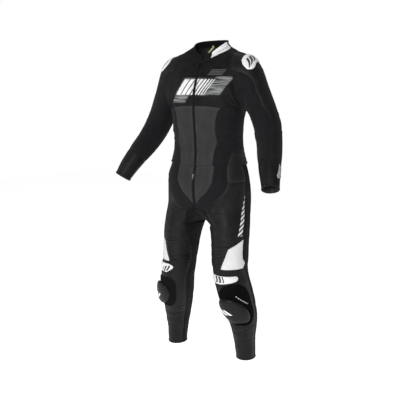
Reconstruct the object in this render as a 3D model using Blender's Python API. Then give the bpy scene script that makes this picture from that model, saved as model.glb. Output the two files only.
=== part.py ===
"""Two-piece leather motorcycle race suit in its worn, filled-out form, with nobody in it.

Frame: metres, +Z up. The suit faces -Y and its own left side is +X. The origin is the middle of the
neck base, where the wearer's shoulders carry the suit.

The worn form is one smooth surface: a torso, two arms and two legs, each given by a short table of
sections and melted together where they meet. Tubes of sections run over that surface (trunk, upper
front, upper back, sleeve, leg, collar). A cut piece is a stretch of one tube between two seam lines,
thickened into a wall. Tables give heights above the wearer's soles; each solid is lowered by
HELD_HEIGHT as it is made. Angles are in degrees.
"""

import bpy
import numpy as np

# ---------------------------------------------------------------- driving sizes
HELD_HEIGHT = 1.475          # neck base above the soles
WALL = 0.0022                # leather or stretch cloth on its backing
SEAM_GAP = 0.0003            # clear space between neighbouring pieces
PLATE_LIFT = 0.0009          # a hard plate's clear space over the cloth below it
JACKET_EASE = WALL + 0.0012  # the jacket lies this far outside the trousers
MELT = 0.028                 # how widely two limbs melt into each other, as at the armpit

HEM_HEIGHT = 1.035           # jacket hem, at the side
CHEST_HEIGHT = 1.236         # seam under the arms, at the side
CHEST_RISE = 0.31            # that seam climbs this much for each metre forward
SIDE_ANGLE = 93.0            # side line, round the trunk from the front middle
ZIP_SHARE = 0.030            # half width of the front zip, as a share of a front row

# Torso sections: half width, and how far its front and back reach from the side line.
TORSO = {
    "height": (
        0.80, 0.86, 0.92, 0.98, 1.035, 1.10, 1.16, 1.215, 1.27,
        1.32, 1.38, 1.42, 1.45, 1.475, 1.50, 1.53, 1.62),
    "half_width": (
        .152, .173, .184, .183, .167, .151, .148, .152, .162,
        .173, .180, .178, .172, .160, .112, .067, .064),
    "front": (
        -.092, -.120, -.132, -.130, -.115, -.111, -.116, -.122, -.126,
        -.124, -.106, -.087, -.070, -.056, -.048, -.045, -.045),
    "back": (
        .116, .126, .125, .115, .108, .100, .098, .104, .116,
        .127, .132, .126, .114, .100, .088, .080, .078),
}
TORSO_SQUARENESS = 2.25      # 2 is an ellipse
CROTCH_FLOOR = 0.828         # the torso's own lower end

# Left arm and left leg: centre line, and half sizes across the body and fore and aft.
ARM = {
    "x":        (.142, .174, .204, .239, .268, .292, .315, .338, .357, .364),
    "y":        (.014, .011, .013, .017, .009, -.022, -.067, -.111, -.144, -.157),
    "z":        (1.410, 1.396, 1.335, 1.262, 1.195, 1.130, 1.075, 1.020, .966, .943),
    "across":   (.060, .061, .056, .052, .051, .048, .044, .038, .031, .030),
    "fore_aft": (.070, .071, .065, .060, .056, .051, .045, .038, .032, .031),
}
LEG = {
    "x":        (.088, .101, .112, .120, .126, .131, .142, .154, .164, .170, .174, .179, .181),
    "y":        (.005, -.005, -.017, -.027, -.035, -.039, -.035, -.016, .002, .011, .015, .018, .019),
    "z":        (.900, .830, .780, .720, .640, .576, .520, .450, .390, .345, .270, .190, .140),
    "across":   (.085, .086, .083, .078, .074, .070, .069, .068, .063, .057, .046, .041, .040),
    "fore_aft": (.104, .103, .098, .093, .088, .086, .086, .084, .077, .069, .055, .047, .046),
}

# The largest folds, on both sides of the body: a ridge's two ends, its half width and its height.
JACKET_FOLDS = {
    "x0": (.225, .222, .170, .150, .100, .262),
    "y0": (-.030, -.010, -.052, -.040, -.125, .045),
    "z0": (1.225, 1.150, 1.285, 1.175, 1.150, 1.180),
    "x1": (.285, .300, .140, .085, .050, .300),
    "y1": (-.042, -.062, -.085, -.112, -.128, .030),
    "z1": (1.212, 1.165, 1.350, 1.205, 1.165, 1.205),
    "half_width": (.016, .015, .020, .022, .022, .015),
    "height": (.0045, .0040, .0040, .0030, .0020, .0040),
}
TROUSER_FOLDS = {
    "x0": (.045, .050, .090, .130, .150, .160, .100),
    "y0": (-.100, -.070, .120, -.110, -.055, -.050, -.110),
    "z0": (.862, .800, .800, .700, .330, .300, .765),
    "x1": (.120, .125, .040, .085, .200, .205, .150),
    "y1": (-.110, -.110, .110, -.095, -.045, -.035, -.105),
    "z1": (.905, .835, .830, .715, .338, .292, .785),
    "half_width": (.020, .020, .024, .016, .014, .014, .020),
    "height": (.0040, .0040, .0040, .0020, .0030, .0030, .0020),
}

# Collar: heights of its seam and of its top edge at angles round the neck, and that edge's reach.
NECK_ANGLE = (0, 20, 45, 70, 90, 135, 180)
NECKLINE = (1.460, 1.464, 1.482, 1.502, 1.514, 1.522, 1.524)
COLLAR_RIM = (1.479, 1.486, 1.507, 1.527, 1.536, 1.547, 1.550)
COLLAR_HALF_WIDTH = 0.073
COLLAR_FRONT = -0.043
COLLAR_BACK = 0.071
COLLAR_HOLLOW = 0.004        # the collar's side is this much hollow between seam and edge
NECK_CENTRE_Y = 0.018

# Sleeve: its upper sections turn about a line in the air below the armpit, the others follow the arm.
ARMPIT = (0.180, 1.235)      # x, z of that line
SHOULDER_TOP = (0.124, 1.502)  # x, z where the armhole seam crosses the shoulder
ARMHOLE_CENTRE = (0.150, 0.012, 1.375)
SLEEVE_FAN = 0.46            # share of the sleeve's length whose sections turn about that line
SLEEVE_START = 0.27          # share of the arm's line where that turn ends
SLEEVE_END = 0.898           # and where the cuff ends
SQUARING = 6.0               # how fast the sections below it come square to the arm
UNDERARM = 0.10              # share of the upper rows that climbs from the chest seam to the armhole
NOTCH = 0.625                # share of the upper front rows below the front of the neckline
NAPE = 0.70                  # share of the upper back rows below the back of the neckline

# Sections of the leg tube from the waist down: the height their middles are cast from, how far those
# casts dip under the crotch (degrees), and the height the sections reach at the hip.
SHARED_ROWS = (
    .757, .727, .700, .672, .645, .625, .605, .588, .570, .545, .520, .495,
    .470, .445, .420, .395, .370, .345, .315, .282, .248, .214, .181)
LEG_ROWS = {
    "middle": (1.050, 1.022, .994, .966, .942, .93, .93, .93, .93, .93, .93, .785) + SHARED_ROWS,
    "dip":    (0, 0, 0, 0, 0, 6, 25.5, 45, 62, 77, 90, 90) + (90,) * len(SHARED_ROWS),
    "hip":    (1.050, 1.022, .994, .966, .944, .922, .897, .872, .848, .828, .810, .788) + SHARED_ROWS,
}
CROTCH_ROW = 10
HIP_X = 0.170                # where a section reaches its hip height
LEVEL_SPREAD = 0.01          # a section whose two middles are closer than this stays level

# Seams of the jacket's trunk: angles on rows of rising height.
TRUNK_ROWS = (HEM_HEIGHT, 1.060, 1.085, 1.098, 1.111, 1.135, 1.160, 1.185, 1.210, CHEST_HEIGHT)
BACK_SEAM = 124.0            # side panel's rear seam
CHEST_BREAK = 50.0           # where the front panel's side seam meets the chest seam
FRONT_SEAM = {
    "height": (1.035, 1.085, 1.110, 1.127, 1.152, 1.185, 1.221, 1.236),
    "angle":  (36, 40, 45, 45, 42, 42, 45, CHEST_BREAK),
}
FLANK_SEAM = (60, 64, 70, 88, 108, 122.5) + (BACK_SEAM,) * 4   # on each of TRUNK_ROWS
FLANK_ROWS = 6               # the leather piece above the hem reaches up to this row

# Seams of the sleeve: angles on rows of its length.
SLEEVE_ROWS = (
    0, .05, .10, .155, .21, .27, .335, .40, .46, .505,
    .55, .595, .64, .685, .735, .785, .835, .885, .94, 1.0)
CUFF_ROW = 16                # cuff seam
CUFF_SEAM = -135.0
OUTER_FRONT = {
    "row":   (0, .09, .19, .29, .40, .46, .52, .56, .62, .82, 1),
    "angle": (60, 62, 55, 48, 48, 56, 60, 42, 34, 30, 30),
}
OUTER_BACK = {"row": (0, .46, 1), "angle": (-105, -100, -90)}

# Seams of the trousers: angles on rows of the leg. The leg's tube starts each row at the inner side.
HIP_SEAM, FLY_ROW, WHITE_TOP, THIGH_END, KNEE_TOP, CALF_TOP, SHIN_TOP, LEG_HEM = 3, 6, 13, 14, 18, 26, 29, 34
FLY_TAPE = 2.2               # half width of the fly's tape
FLY_POINT = 0.4              # the same at its pointed lower end
FLY_EDGE = {"row": (0, 3, 4, 5, 6), "angle": (88, 88, 83, 76, 56.9)}
GROIN_EDGE = {
    "row":   (0, 3, 4, 5, 6, 7, 10, 11, 12, 13, 14, 15, 16, 17, 18),
    "angle": (117, 119, 116, 110, 91, 79, 66, 61, 55, 44, 34, 26, 20, 14, 10),
}
SIDE_EDGE = {
    "row":   (0, 10, 12, 13, 14, 15, 16, 17, 18),
    "angle": (170, 165, 164, 163.2, 162, 161, 164, 177, 167),
}
WHITE_EDGE = {"row": (12, 13, 14, 15, 16, 17, 18), "angle": (164, 160, 124, 108, 101, 95, 90)}
BACK_EDGE = {"row": (10, 11, 12, 13, 18), "angle": (358, 330, 310, 302, 298)}
KNEE_INNER = {"row": (18, 19, 21, 22, 34), "angle": (10, 15, 25, 28, 28)}
KNEE_OUTER = {"row": (18, 19, 20, 21, 34), "angle": (168, 178, 188, 195, 195)}
RIBS = {"count": 8, "height": 0.0022, "steps": 2}   # accordion above the knee

# Hard plates: rows, the angles of both edges on each, thickness in the middle and at the edge.
# `squareness` says how full the dome is, `lift` how far it lies over the panel below.
CAP = {
    "rows":  (.110, .130, .150, .175, .198, .215, .232, .250, .268),
    "back":  (-10, -18, -22, -25, -25, -20, -4, 12, 20),
    "front": (32, 38, 41, 42, 42, 41, 38, 34, 27),
    "thick": 0.0050, "edge": 0.0022, "squareness": 2.5, "lift": PLATE_LIFT, "columns": 8,
}
SHIELD = {"thick": 0.0070, "edge": 0.0024, "squareness": 2.5, "columns": 10}
SHIELD_LEFT = {
    "rows":  (19.6, 19.85, 20.2, 20.5, 20.7, 20.85, 21.0, 21.15),
    "back":  (56, 48, 45, 45, 47, 49, 52, 57),
    "front": (134, 139, 140, 136, 126, 112, 96, 82),
    "lift":  0.0012,
}
SHIELD_RIGHT = {
    "rows":  (18.7, 19.1, 19.6, 20.2, 20.7),
    "back":  (90, 80, 76, 83, 95),
    "front": (146, 155, 155, 146, 128),
    "lift":  PLATE_LIFT,
}
PAD = {"thick": 0.0042, "edge": 0.0030, "squareness": 2.5, "lift": 0.0012, "columns": 8}
PAD_LEFT = {
    "rows":  (21.1, 21.5, 22.1, 22.9, 23.9, 24.9, 25.9, 26.9, 27.9, 28.4, 28.8),
    "back":  (108, 92, 80, 69, 63, 62, 62, 64, 71, 80, 92),
    "front": (136, 154, 165, 171, 173, 173, 174, 171, 160, 150, 136),
    "lift":  0.0015,
}
PAD_RIGHT = {
    "rows":  (21.7, 22.2, 22.9, 23.7, 24.6, 25.5, 26.4, 27.1, 27.6),
    "back":  (80, 70, 65, 63, 63, 63, 65, 71, 82),
    "front": (134, 148, 154, 155, 154, 151, 146, 136, 120),
}
PUCK = {"thick": 0.0170, "edge": 0.0090, "squareness": 3.5, "lift": 0.0062, "columns": 8}
PUCK_LEFT = {
    "rows":  (23.5, 24.1, 24.8, 25.6, 26.4, 27.1, 27.6, 28.0),
    "back":  (78, 70, 67, 67, 70, 76, 83, 92),
    "front": (104, 121, 132, 141, 144, 143, 138, 128),
    "lift":  0.0070,
}
PUCK_RIGHT = {
    "rows":  (22.9, 23.3, 23.9, 24.6, 25.3, 26.0, 26.5, 26.9),
    "back":  (98, 88, 82, 80, 82, 85, 92, 102),
    "front": (132, 142, 147, 148, 145, 140, 132, 120),
}

# Neck label, on the inside of the upper back: rows and shares across of the patch it hangs from.
LABEL = {"rows": (0.725, 0.745, 0.765), "across": (0.03, 0.25), "clear": 0.0008, "thick": 0.0008}

# Zip slider: an open channel over the tape. Heights are over the cloth, lengths along the zip.
SLIDER = {
    "half_width": 0.0040, "channel": 0.0030, "under": 0.0006, "floor": 0.0036, "wall_top": 0.0066,
    "above": 0.0030, "below": 0.0090,
}
# Its pull tab turns about a crosswise line between the channel's walls and hangs down the zip.
TAB = {
    "thick": 0.0013, "under": 0.0046,
    "along": (0.0005, -0.0040, -0.0100, -0.0176, -0.0220),
    "half_width": (0.0025, 0.0025, 0.0016, 0.0025, 0.0016),
}
FRONT_SLIDER_ROW = 0.57      # share of the upper front's rows
FLY_SLIDER_ROW = 2.0         # row of the leg

# Colour, roughness and metallic value of each material.
PAINTS = {
    "black_leather":  (0.030, 0.031, 0.034, 0.42, 0.0),
    "grey_leather":   (0.075, 0.076, 0.080, 0.48, 0.0),
    "stretch_cloth":  (0.022, 0.023, 0.028, 0.85, 0.0),
    "white_leather":  (0.820, 0.820, 0.830, 0.40, 0.0),
    "white_cap":      (0.800, 0.800, 0.810, 0.30, 0.0),
    "slider_plastic": (0.045, 0.046, 0.050, 0.50, 0.0),
    "zip_metal":      (0.350, 0.360, 0.380, 0.35, 1.0),
    "label_cloth":    (0.740, 0.750, 0.620, 0.80, 0.0),
}
SHARP_ANGLE = 32.0           # edges that turn more than this stay sharp

# Fineness of the working, not of the suit.
LINE_STEPS = 48              # straight steps that stand for a limb's curved centre line
SEAM_STEPS = 241             # points along a seam's own curve
GRADIENT_STEP = 2e-4
CAST_START, CAST_PACE, CAST_STEPS = 0.01, 0.95, 60
SETTLE_STEPS = 8


# ---------------------------------------------------------------- the worn form
def smooth_lookup(at, knots, values):
    """The smooth curve through (knots, values), read at `at`."""
    knots = np.asarray(knots, float)
    values = np.asarray(values, float)
    slopes = np.gradient(values, knots)
    at = np.clip(at, knots[0], knots[-1])
    k = np.clip(np.searchsorted(knots, at, side="right") - 1, 0, len(knots) - 2)
    width = knots[k + 1] - knots[k]
    t = (at - knots[k]) / width
    return (
        values[k] * (1 + 2 * t) * (1 - t) ** 2
        + values[k + 1] * t * t * (3 - 2 * t)
        + width * (slopes[k] * t * (1 - t) ** 2 - slopes[k + 1] * t * t * (1 - t))
    )


def melted(a, b, width):
    """The lower of two fields, rounded where they are within `width` of each other."""
    mix = np.clip(0.5 + 0.5 * (b - a) / width, 0, 1)
    return b * (1 - mix) + a * mix - width * mix * (1 - mix)


def limb_line(table):
    """A limb's centre line and half sizes as rows of points close together."""
    knots = np.linspace(0, 1, len(table["x"]))
    steps = np.linspace(0, 1, LINE_STEPS + 1)
    return np.stack([smooth_lookup(steps, knots, column) for column in table.values()], axis=1)


ARM_LINE = limb_line(ARM)
LEG_LINE = limb_line(LEG)


def torso_section(height):
    """Half width, front and back reach at a height."""
    return [smooth_lookup(height, TORSO["height"], TORSO[c]) for c in ("half_width", "front", "back")]


def torso_field(points):
    """Below 0 inside the torso, about the distance to it outside."""
    half, front, back = torso_section(points[:, 2])
    middle = (front + back) / 2
    depth = (back - front) / 2
    n = TORSO_SQUARENESS
    reach = (np.abs(points[:, 0] / half) ** n + np.abs((points[:, 1] - middle) / depth) ** n) ** (1 / n)
    return (reach - 1) * np.minimum(half, depth)


def limb_field(points, line, side):
    """The same for a limb: distance from its centre line less its half size. side -1 mirrors it."""
    points = points * (side, 1, 1)
    start = line[:-1, :3]
    along = line[1:, :3] - start
    offset = points[:, None, :] - start[None]
    share = np.clip((offset * along).sum(2) / (along * along).sum(1), 0, 1)
    gap = offset - share[:, :, None] * along
    nearest = (gap * gap).sum(2).argmin(1)
    rows = np.arange(len(points))
    gap = gap[rows, nearest]
    share = share[rows, nearest][:, None]
    across, fore_aft = (line[nearest, 3:] * (1 - share) + line[nearest + 1, 3:] * share).T
    upright = (across + fore_aft) / 2
    reach = np.sqrt((gap[:, 0] / across) ** 2 + (gap[:, 1] / fore_aft) ** 2 + (gap[:, 2] / upright) ** 2)
    return (reach - 1) * np.minimum(across, fore_aft)


def fold_rise(points, folds):
    """How far the folds lift the cloth."""
    near = np.abs(points[:, 0])[:, None] * (1, 0, 0) + points * (0, 1, 1)
    rise = np.zeros(len(points))
    for x0, y0, z0, x1, y1, z1, half_width, height in zip(*folds.values()):
        start, along = np.array([x0, y0, z0]), np.array([x1 - x0, y1 - y0, z1 - z0])
        share = (near - start) @ along / (along @ along)
        away = np.linalg.norm(near - start - np.clip(share, 0, 1)[:, None] * along, axis=1)
        rise = rise + height * np.exp(-((away / half_width) ** 2))
    return rise


def upper_field(points):
    """Torso and arms, as far out as the jacket lies."""
    arms = np.minimum(limb_field(points, ARM_LINE, 1), limb_field(points, ARM_LINE, -1))
    return melted(torso_field(points), arms, MELT) - JACKET_EASE - fold_rise(points, JACKET_FOLDS)


def lower_field(points):
    """Hips and legs."""
    hips = -melted(-torso_field(points), points[:, 2] - CROTCH_FLOOR, MELT)
    legs = melted(limb_field(points, LEG_LINE, 1), limb_field(points, LEG_LINE, -1), MELT)
    return melted(hips, legs, MELT) - fold_rise(points, TROUSER_FOLDS)


def slope(field, points):
    """The field's gradient."""
    steps = GRADIENT_STEP * np.eye(3)
    return np.stack([(field(points + d) - field(points - d)) / (2 * GRADIENT_STEP) for d in steps], axis=1)


def unit(vectors):
    return vectors / np.linalg.norm(vectors, axis=-1, keepdims=True)


def settle(field, points):
    """Moves points that are near the surface onto it."""
    for _ in range(SETTLE_STEPS):
        pull = slope(field, points)
        points = points - field(points)[:, None] * pull / (pull * pull).sum(1)[:, None]
    return points


def cast(field, starts, directions):
    """The first surface point along each ray that starts inside."""
    reach = np.full(len(starts), CAST_START)
    for _ in range(CAST_STEPS):
        reach = reach - CAST_PACE * field(starts + reach[:, None] * directions)
    return starts + reach[:, None] * directions


# ---------------------------------------------------------------- tubes over the form
def trunk(angle, height):
    """Jacket body: degrees from the front middle, height at the side line."""
    turn = np.radians(angle)
    _, front, back = torso_section(height)
    climb = CHEST_RISE * (height - HEM_HEIGHT) / (CHEST_HEIGHT - HEM_HEIGHT)
    middle = (front + back) / 2
    starts = np.stack([np.zeros_like(height), middle, height - climb * middle], axis=-1)
    ways = np.stack([np.sin(turn), -np.cos(turn), climb * np.cos(turn)], axis=-1)
    return cast(upper_field, starts, unit(ways))


def around_neck(angle):
    """The level direction out from the neck's middle."""
    turn = np.radians(angle)
    return np.stack([np.sin(turn), -np.cos(turn), np.zeros_like(turn)], axis=-1)


def neckline(angle):
    """The collar's seam: degrees round the neck."""
    height = smooth_lookup(180 - np.abs(180 - angle), NECK_ANGLE, NECKLINE)
    starts = np.stack([0 * height, np.full_like(height, NECK_CENTRE_Y), height], axis=-1)
    return cast(upper_field, starts, around_neck(angle))


def collar(angle, share):
    """Collar: degrees round the neck, share of the way from its seam to its top edge."""
    turn = np.radians(angle)
    base = neckline(angle)
    reach_y = np.where(np.cos(turn) > 0, NECK_CENTRE_Y - COLLAR_FRONT, COLLAR_BACK - NECK_CENTRE_Y)
    rim = np.stack([
        COLLAR_HALF_WIDTH * np.sin(turn),
        NECK_CENTRE_Y - reach_y * np.cos(turn),
        smooth_lookup(180 - np.abs(180 - angle), NECK_ANGLE, COLLAR_RIM),
    ], axis=-1)
    hollow = COLLAR_HOLLOW * np.sin(np.pi * share)[:, None]
    return base + (rim - base) * share[:, None] - around_neck(angle) * hollow


def arm_point(share):
    """A point of the arm's centre line."""
    knots = np.linspace(0, 1, len(ARM["x"]))
    return np.stack([smooth_lookup(share, knots, ARM[c]) for c in ("x", "y", "z")], axis=-1)


def sleeve(angle, share):
    """Sleeve: degrees round the arm (0 outer, 90 front, 180 inner), share of its length from the armhole."""
    turn = np.radians(angle)
    hinge = np.array([ARMPIT[0], 0, ARMPIT[1]])
    first = unit(np.array([SHOULDER_TOP[0] - ARMPIT[0], 0, SHOULDER_TOP[1] - ARMPIT[1]]))
    step = 1e-3
    foot = arm_point(np.array([SLEEVE_START]))[0]
    last = unit((foot - hinge) * (1, 0, 1))
    swing = np.arccos(first @ last)
    fan = np.clip(share / SLEEVE_FAN, 0, 1)
    beyond = np.clip((share - SLEEVE_FAN) / (1 - SLEEVE_FAN), 0, 1)
    lean = swing * fan
    side_way = unit(last - (last @ first) * first)
    outward = np.cos(lean)[:, None] * first + np.sin(lean)[:, None] * side_way
    along = SLEEVE_START + (SLEEVE_END - SLEEVE_START) * beyond
    centre = arm_point(along)
    heading = unit(arm_point(along + step) - arm_point(along - step))
    square = unit(last - (heading @ last)[:, None] * heading)
    bend = np.clip(beyond * SQUARING, 0, 1)[:, None]
    outward = unit(outward * (1 - bend) + square * bend)
    fore = np.array([0, -1.0, 0])
    across = unit(np.cross(heading, square))
    across = across * np.sign(across @ fore)[:, None]
    ahead = unit(fore * (1 - bend) + across * bend)
    blend = (fan * fan * (3 - 2 * fan))[:, None]
    inside = np.array(ARMHOLE_CENTRE)
    reach_in = np.linalg.norm((inside - hinge) * (1, 0, 1))
    reach_out = np.linalg.norm((foot - hinge) * (1, 0, 1))
    reach = reach_in * (1 - blend) + reach_out * blend
    fore_aft = inside[1] * (1 - blend) + foot[1] * blend
    fan_centre = hinge + outward * reach - fore * fore_aft
    starts = np.where((beyond > 0)[:, None], centre, fan_centre)
    ways = np.cos(turn)[:, None] * outward + np.sin(turn)[:, None] * ahead
    return cast(upper_field, starts, unit(ways))


def through(points, share):
    """The point at `share` of a polyline's length."""
    lengths = np.concatenate([[0], np.cumsum(np.linalg.norm(np.diff(points, axis=0), axis=1))])
    at = share * lengths[-1]
    return np.stack([np.interp(at, lengths, points[:, k]) for k in range(3)], axis=-1)


def seam_between(low, top):
    """A line over the form from one of its points to another."""
    return settle(upper_field, low + (top - low) * np.linspace(0, 1, SEAM_STEPS)[:, None])


STEM = seam_between(
    trunk(np.array([SIDE_ANGLE]), np.array([CHEST_HEIGHT]))[0],
    sleeve(np.array([180.0]), np.array([0.0]))[0],
)


def patch_edges(front):
    """The four edges of the upper front or upper back, as functions of a share: chest seam, middle and
    neckline, armhole, shoulder seam."""
    way = 1.0 if front else -1.0
    middle_angle = 0.0 if front else 180.0
    turn_at = NOTCH if front else NAPE
    low = trunk(np.array([middle_angle]), np.array([CHEST_HEIGHT]))[0]
    spine = seam_between(low, neckline(np.array([middle_angle]))[0])
    spine[:, 0] = 0.0
    seam = seam_between(neckline(np.array([90.0]))[0], sleeve(np.array([0.0]), np.array([0.0]))[0])

    def chest(share):
        return trunk(middle_angle + (SIDE_ANGLE - middle_angle) * share, np.full_like(share, CHEST_HEIGHT))

    def middle(share):
        below = through(spine, np.clip(share / turn_at, 0, 1))
        round_neck = np.clip((share - turn_at) / (1 - turn_at), 0, 1)
        above = neckline(middle_angle + (90.0 - middle_angle) * round_neck)
        return np.where((share <= turn_at)[:, None], below, above)

    def armhole(share):
        climb = through(STEM, np.clip(share / UNDERARM, 0, 1))
        round_arm = np.clip((share - UNDERARM) / (1 - UNDERARM), 0, 1)
        loop = sleeve(180 - way * 180 * round_arm, np.zeros_like(share))
        return np.where((share <= UNDERARM)[:, None], climb, loop)

    def shoulder(share):
        return through(seam, share)

    return chest, middle, armhole, shoulder


PATCH = {True: patch_edges(True), False: patch_edges(False)}


def upper(front, across, share):
    """Upper front or back: share across from the middle to the armhole, share up from the chest seam."""
    chest, middle, armhole, shoulder = PATCH[front]
    u, v = across[:, None], share[:, None]
    one = np.ones_like(across)
    corners = (
        (1 - u) * (1 - v) * chest(0 * one) + u * (1 - v) * chest(one)
        + (1 - u) * v * shoulder(0 * one) + u * v * shoulder(one)
    )
    along = (1 - v) * chest(across) + v * shoulder(across)
    return settle(upper_field, along + (1 - u) * middle(share) + u * armhole(share) - corners)


def upper_front(across, share):
    """The upper front on both sides: a share below 0 is on the suit's right."""
    side = np.where(across < 0, -1.0, 1.0)[:, None]
    return upper(True, np.abs(across), share) * np.concatenate([side, 1 + 0 * side, 1 + 0 * side], axis=1)


def upper_back(across, share):
    return upper(False, across, share)


def leg_plane(row):
    """A leg section's centre, its slopes along x and y, and the angles of its front and back middle."""
    rows = np.arange(len(LEG_ROWS["middle"]))
    open_row = row <= CROTCH_ROW
    below = smooth_lookup(row, rows, LEG_ROWS["middle"])
    middle = np.where(open_row, np.interp(row, rows, LEG_ROWS["middle"]), below)
    hip = smooth_lookup(row, rows, LEG_ROWS["hip"])
    turn = np.radians(np.interp(row, rows, LEG_ROWS["dip"]))
    starts = np.stack([0 * row, 0 * row, middle], axis=-1)
    front = cast(lower_field, starts, np.stack([0 * row, -np.cos(turn), -np.sin(turn)], axis=-1))
    back = cast(lower_field, starts, np.stack([0 * row, np.cos(turn), -np.sin(turn)], axis=-1))
    spread = np.maximum(back[:, 1] - front[:, 1], 1e-6)
    slope_y = np.where(open_row & (spread > LEVEL_SPREAD), (back[:, 2] - front[:, 2]) / spread, 0)
    zero = np.where(open_row, front[:, 2] - slope_y * front[:, 1], middle)
    slope_x = (hip - zero) / HIP_X
    mean = np.clip((zero + hip) / 2, LEG["z"][-1], LEG["z"][0])
    centre_x = np.interp(-mean, -LEG_LINE[:, 2], LEG_LINE[:, 0])
    centre_y = np.interp(-mean, -LEG_LINE[:, 2], LEG_LINE[:, 1])
    centre = np.stack([centre_x, centre_y, zero + slope_x * centre_x + slope_y * centre_y], axis=-1)
    front_angle = np.degrees(np.arctan2(centre_y - front[:, 1], centre_x))
    back_angle = 360 - np.degrees(np.arctan2(back[:, 1] - centre_y, centre_x))
    front_angle = np.where(open_row, front_angle, 0)
    back_angle = np.where(open_row, back_angle, 360)
    return centre, slope_x, slope_y, front_angle, back_angle


def leg(angle, row):
    """Left trouser half: degrees round the leg (0 inner, 90 front, 180 outer), row of LEG_ROWS."""
    turn = np.radians(angle)
    centre, slope_x, slope_y, _, _ = leg_plane(row)
    flat = np.stack([-np.cos(turn), -np.sin(turn), 0 * turn], axis=-1)
    flat[:, 2] = slope_x * flat[:, 0] + slope_y * flat[:, 1]
    return cast(lower_field, centre, unit(flat))


def front_middle(row):
    return leg_plane(np.asarray(row, float))[3]


def back_middle(row):
    return leg_plane(np.asarray(row, float))[4]


# ---------------------------------------------------------------- solids
def outward_normals(field, points):
    return unit(slope(field, points))


def grid_faces(rows, columns):
    """The quads of a thickened grid: outer side, inner side, rims."""
    index = np.arange(rows * columns).reshape(rows, columns)
    a, b, c, d = index[:-1, :-1], index[:-1, 1:], index[1:, 1:], index[1:, :-1]
    outer = np.stack([a, b, c, d], axis=-1).reshape(-1, 4)
    inner = outer[:, ::-1] + rows * columns
    edge = np.concatenate([index[0, :-1], index[:-1, -1], index[-1, :0:-1], index[:0:-1, 0]])
    following = np.roll(edge, -1)
    rim = np.stack([following, edge, edge + rows * columns, following + rows * columns], axis=-1)
    return np.concatenate([outer, inner, rim])


def halved(points, quads):
    """Each quad as two triangles along its shorter diagonal, so that facing rims bend alike."""
    a, b, c, d = quads.T
    one_way = np.linalg.norm(points[a] - points[c], axis=1)
    other_way = np.linalg.norm(points[b] - points[d], axis=1)
    straight = (one_way <= other_way)[:, None]
    first = np.where(straight, np.stack([a, b, c], axis=-1), np.stack([a, b, d], axis=-1))
    second = np.where(straight, np.stack([a, c, d], axis=-1), np.stack([b, c, d], axis=-1))
    return np.concatenate([first, second])


def signed_volume(points, faces):
    a, b, c = (points[faces[:, k]] for k in range(3))
    return np.einsum("ij,ij->", a, np.cross(b, c)) / 6


def seam_inset(grid, normals, gap):
    """Draws a grid's four edges in by `gap`, along the cloth and square to each seam."""
    moved = grid.copy()
    for axis, first in ((0, 0), (0, -1), (1, 0), (1, -1)):
        edge = np.take(grid, first, axis=axis)
        inside = np.take(grid, 1 if first == 0 else -2, axis=axis)
        normal = np.take(normals, first, axis=axis)
        along = unit(np.gradient(edge, axis=0) + 1e-12)
        into = np.cross(normal, along)
        into = unit(into) * np.sign((into * (inside - edge)).sum(-1, keepdims=True))
        if axis == 0:
            moved[first] += into * gap
        else:
            moved[:, first] += into * gap
    return moved


def add_mesh(name, paint, points, faces, pivot=(0, 0, 0)):
    """An object whose own origin is `pivot`; points and pivot are heights over the soles."""
    mesh = bpy.data.meshes.new(name)
    near = np.asarray(points) - pivot
    mesh.from_pydata([tuple(map(float, p)) for p in near], [], [tuple(map(int, f)) for f in faces])
    mesh.validate()
    mesh.materials.append(MATERIALS[paint])
    mesh.shade_smooth()
    mesh.set_sharp_from_angle(angle=np.radians(SHARP_ANGLE))
    body = bpy.data.objects.new(name, mesh)
    body.location = np.asarray(pivot, float) - (0, 0, HELD_HEIGHT)
    bpy.context.scene.collection.objects.link(body)


def add_solid(name, paint, outer, inner):
    """One closed solid between two grids of points."""
    rows, columns = outer.shape[:2]
    points = np.concatenate([outer.reshape(-1, 3), inner.reshape(-1, 3)])
    faces = halved(points, grid_faces(rows, columns))
    if signed_volume(points, faces) < 0:
        faces = faces[:, ::-1]
    add_mesh(name, paint, points, faces)


def ruled(name, paint, sections, pivot):
    """A solid through outlines of equal count, capped at both ends."""
    sections = np.asarray(sections)
    levels, count = sections.shape[:2]
    faces = []
    for level in range(levels - 1):
        for k in range(count):
            a, b = level * count + k, level * count + (k + 1) % count
            faces.append((a, b, b + count, a + count))
    faces.append(tuple(range(count))[::-1])
    faces.append(tuple(range((levels - 1) * count, levels * count)))
    add_mesh(name, paint, sections.reshape(-1, 3), faces, pivot)


def mirrored(grid):
    return (grid * (-1, 1, 1))[:, ::-1]


def cut_piece(name, paint, grid, normals, both=True, relief=0.0, gap=SEAM_GAP / 2):
    """A cut piece: the grid is its outer side, raised by `relief`, its plain inner side a wall below."""
    grid = seam_inset(grid, normals, gap)
    outer = grid + normals * relief
    inner = grid - normals * WALL
    if both:
        add_solid(name + "_left", paint, outer, inner)
        add_solid(name + "_right", paint, mirrored(outer), mirrored(inner))
    else:
        add_solid(name, paint, outer, inner)


def seam_at(rows, table):
    """A seam's angle on each row, from its own table."""
    knots, angles = table.values()
    return np.interp(rows, knots, angles)


def tube_grid(tube, field, rows, left, right, columns):
    """Points and normals of a stretch of tube between two seams. `columns` is how many, or their shares."""
    rows = np.asarray(rows, float)
    left = np.broadcast_to(left, rows.shape)
    right = np.broadcast_to(right, rows.shape)
    share = np.linspace(0, 1, columns + 1) if np.isscalar(columns) else np.asarray(columns)
    place = left[:, None] * (1 - share) + right[:, None] * share
    level = np.broadcast_to(rows[:, None], place.shape)
    points = tube(place.ravel(), level.ravel())
    normals = outward_normals(field, points)
    return points.reshape(*place.shape, 3), normals.reshape(*place.shape, 3)


def two_spans(start, turn, end, first, second):
    """Shares of the way from start to end: `first` columns up to `turn`, `second` after it."""
    places = np.concatenate([np.linspace(start, turn, first + 1), np.linspace(turn, end, second + 1)[1:]])
    return (places - start) / (end - start)


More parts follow.
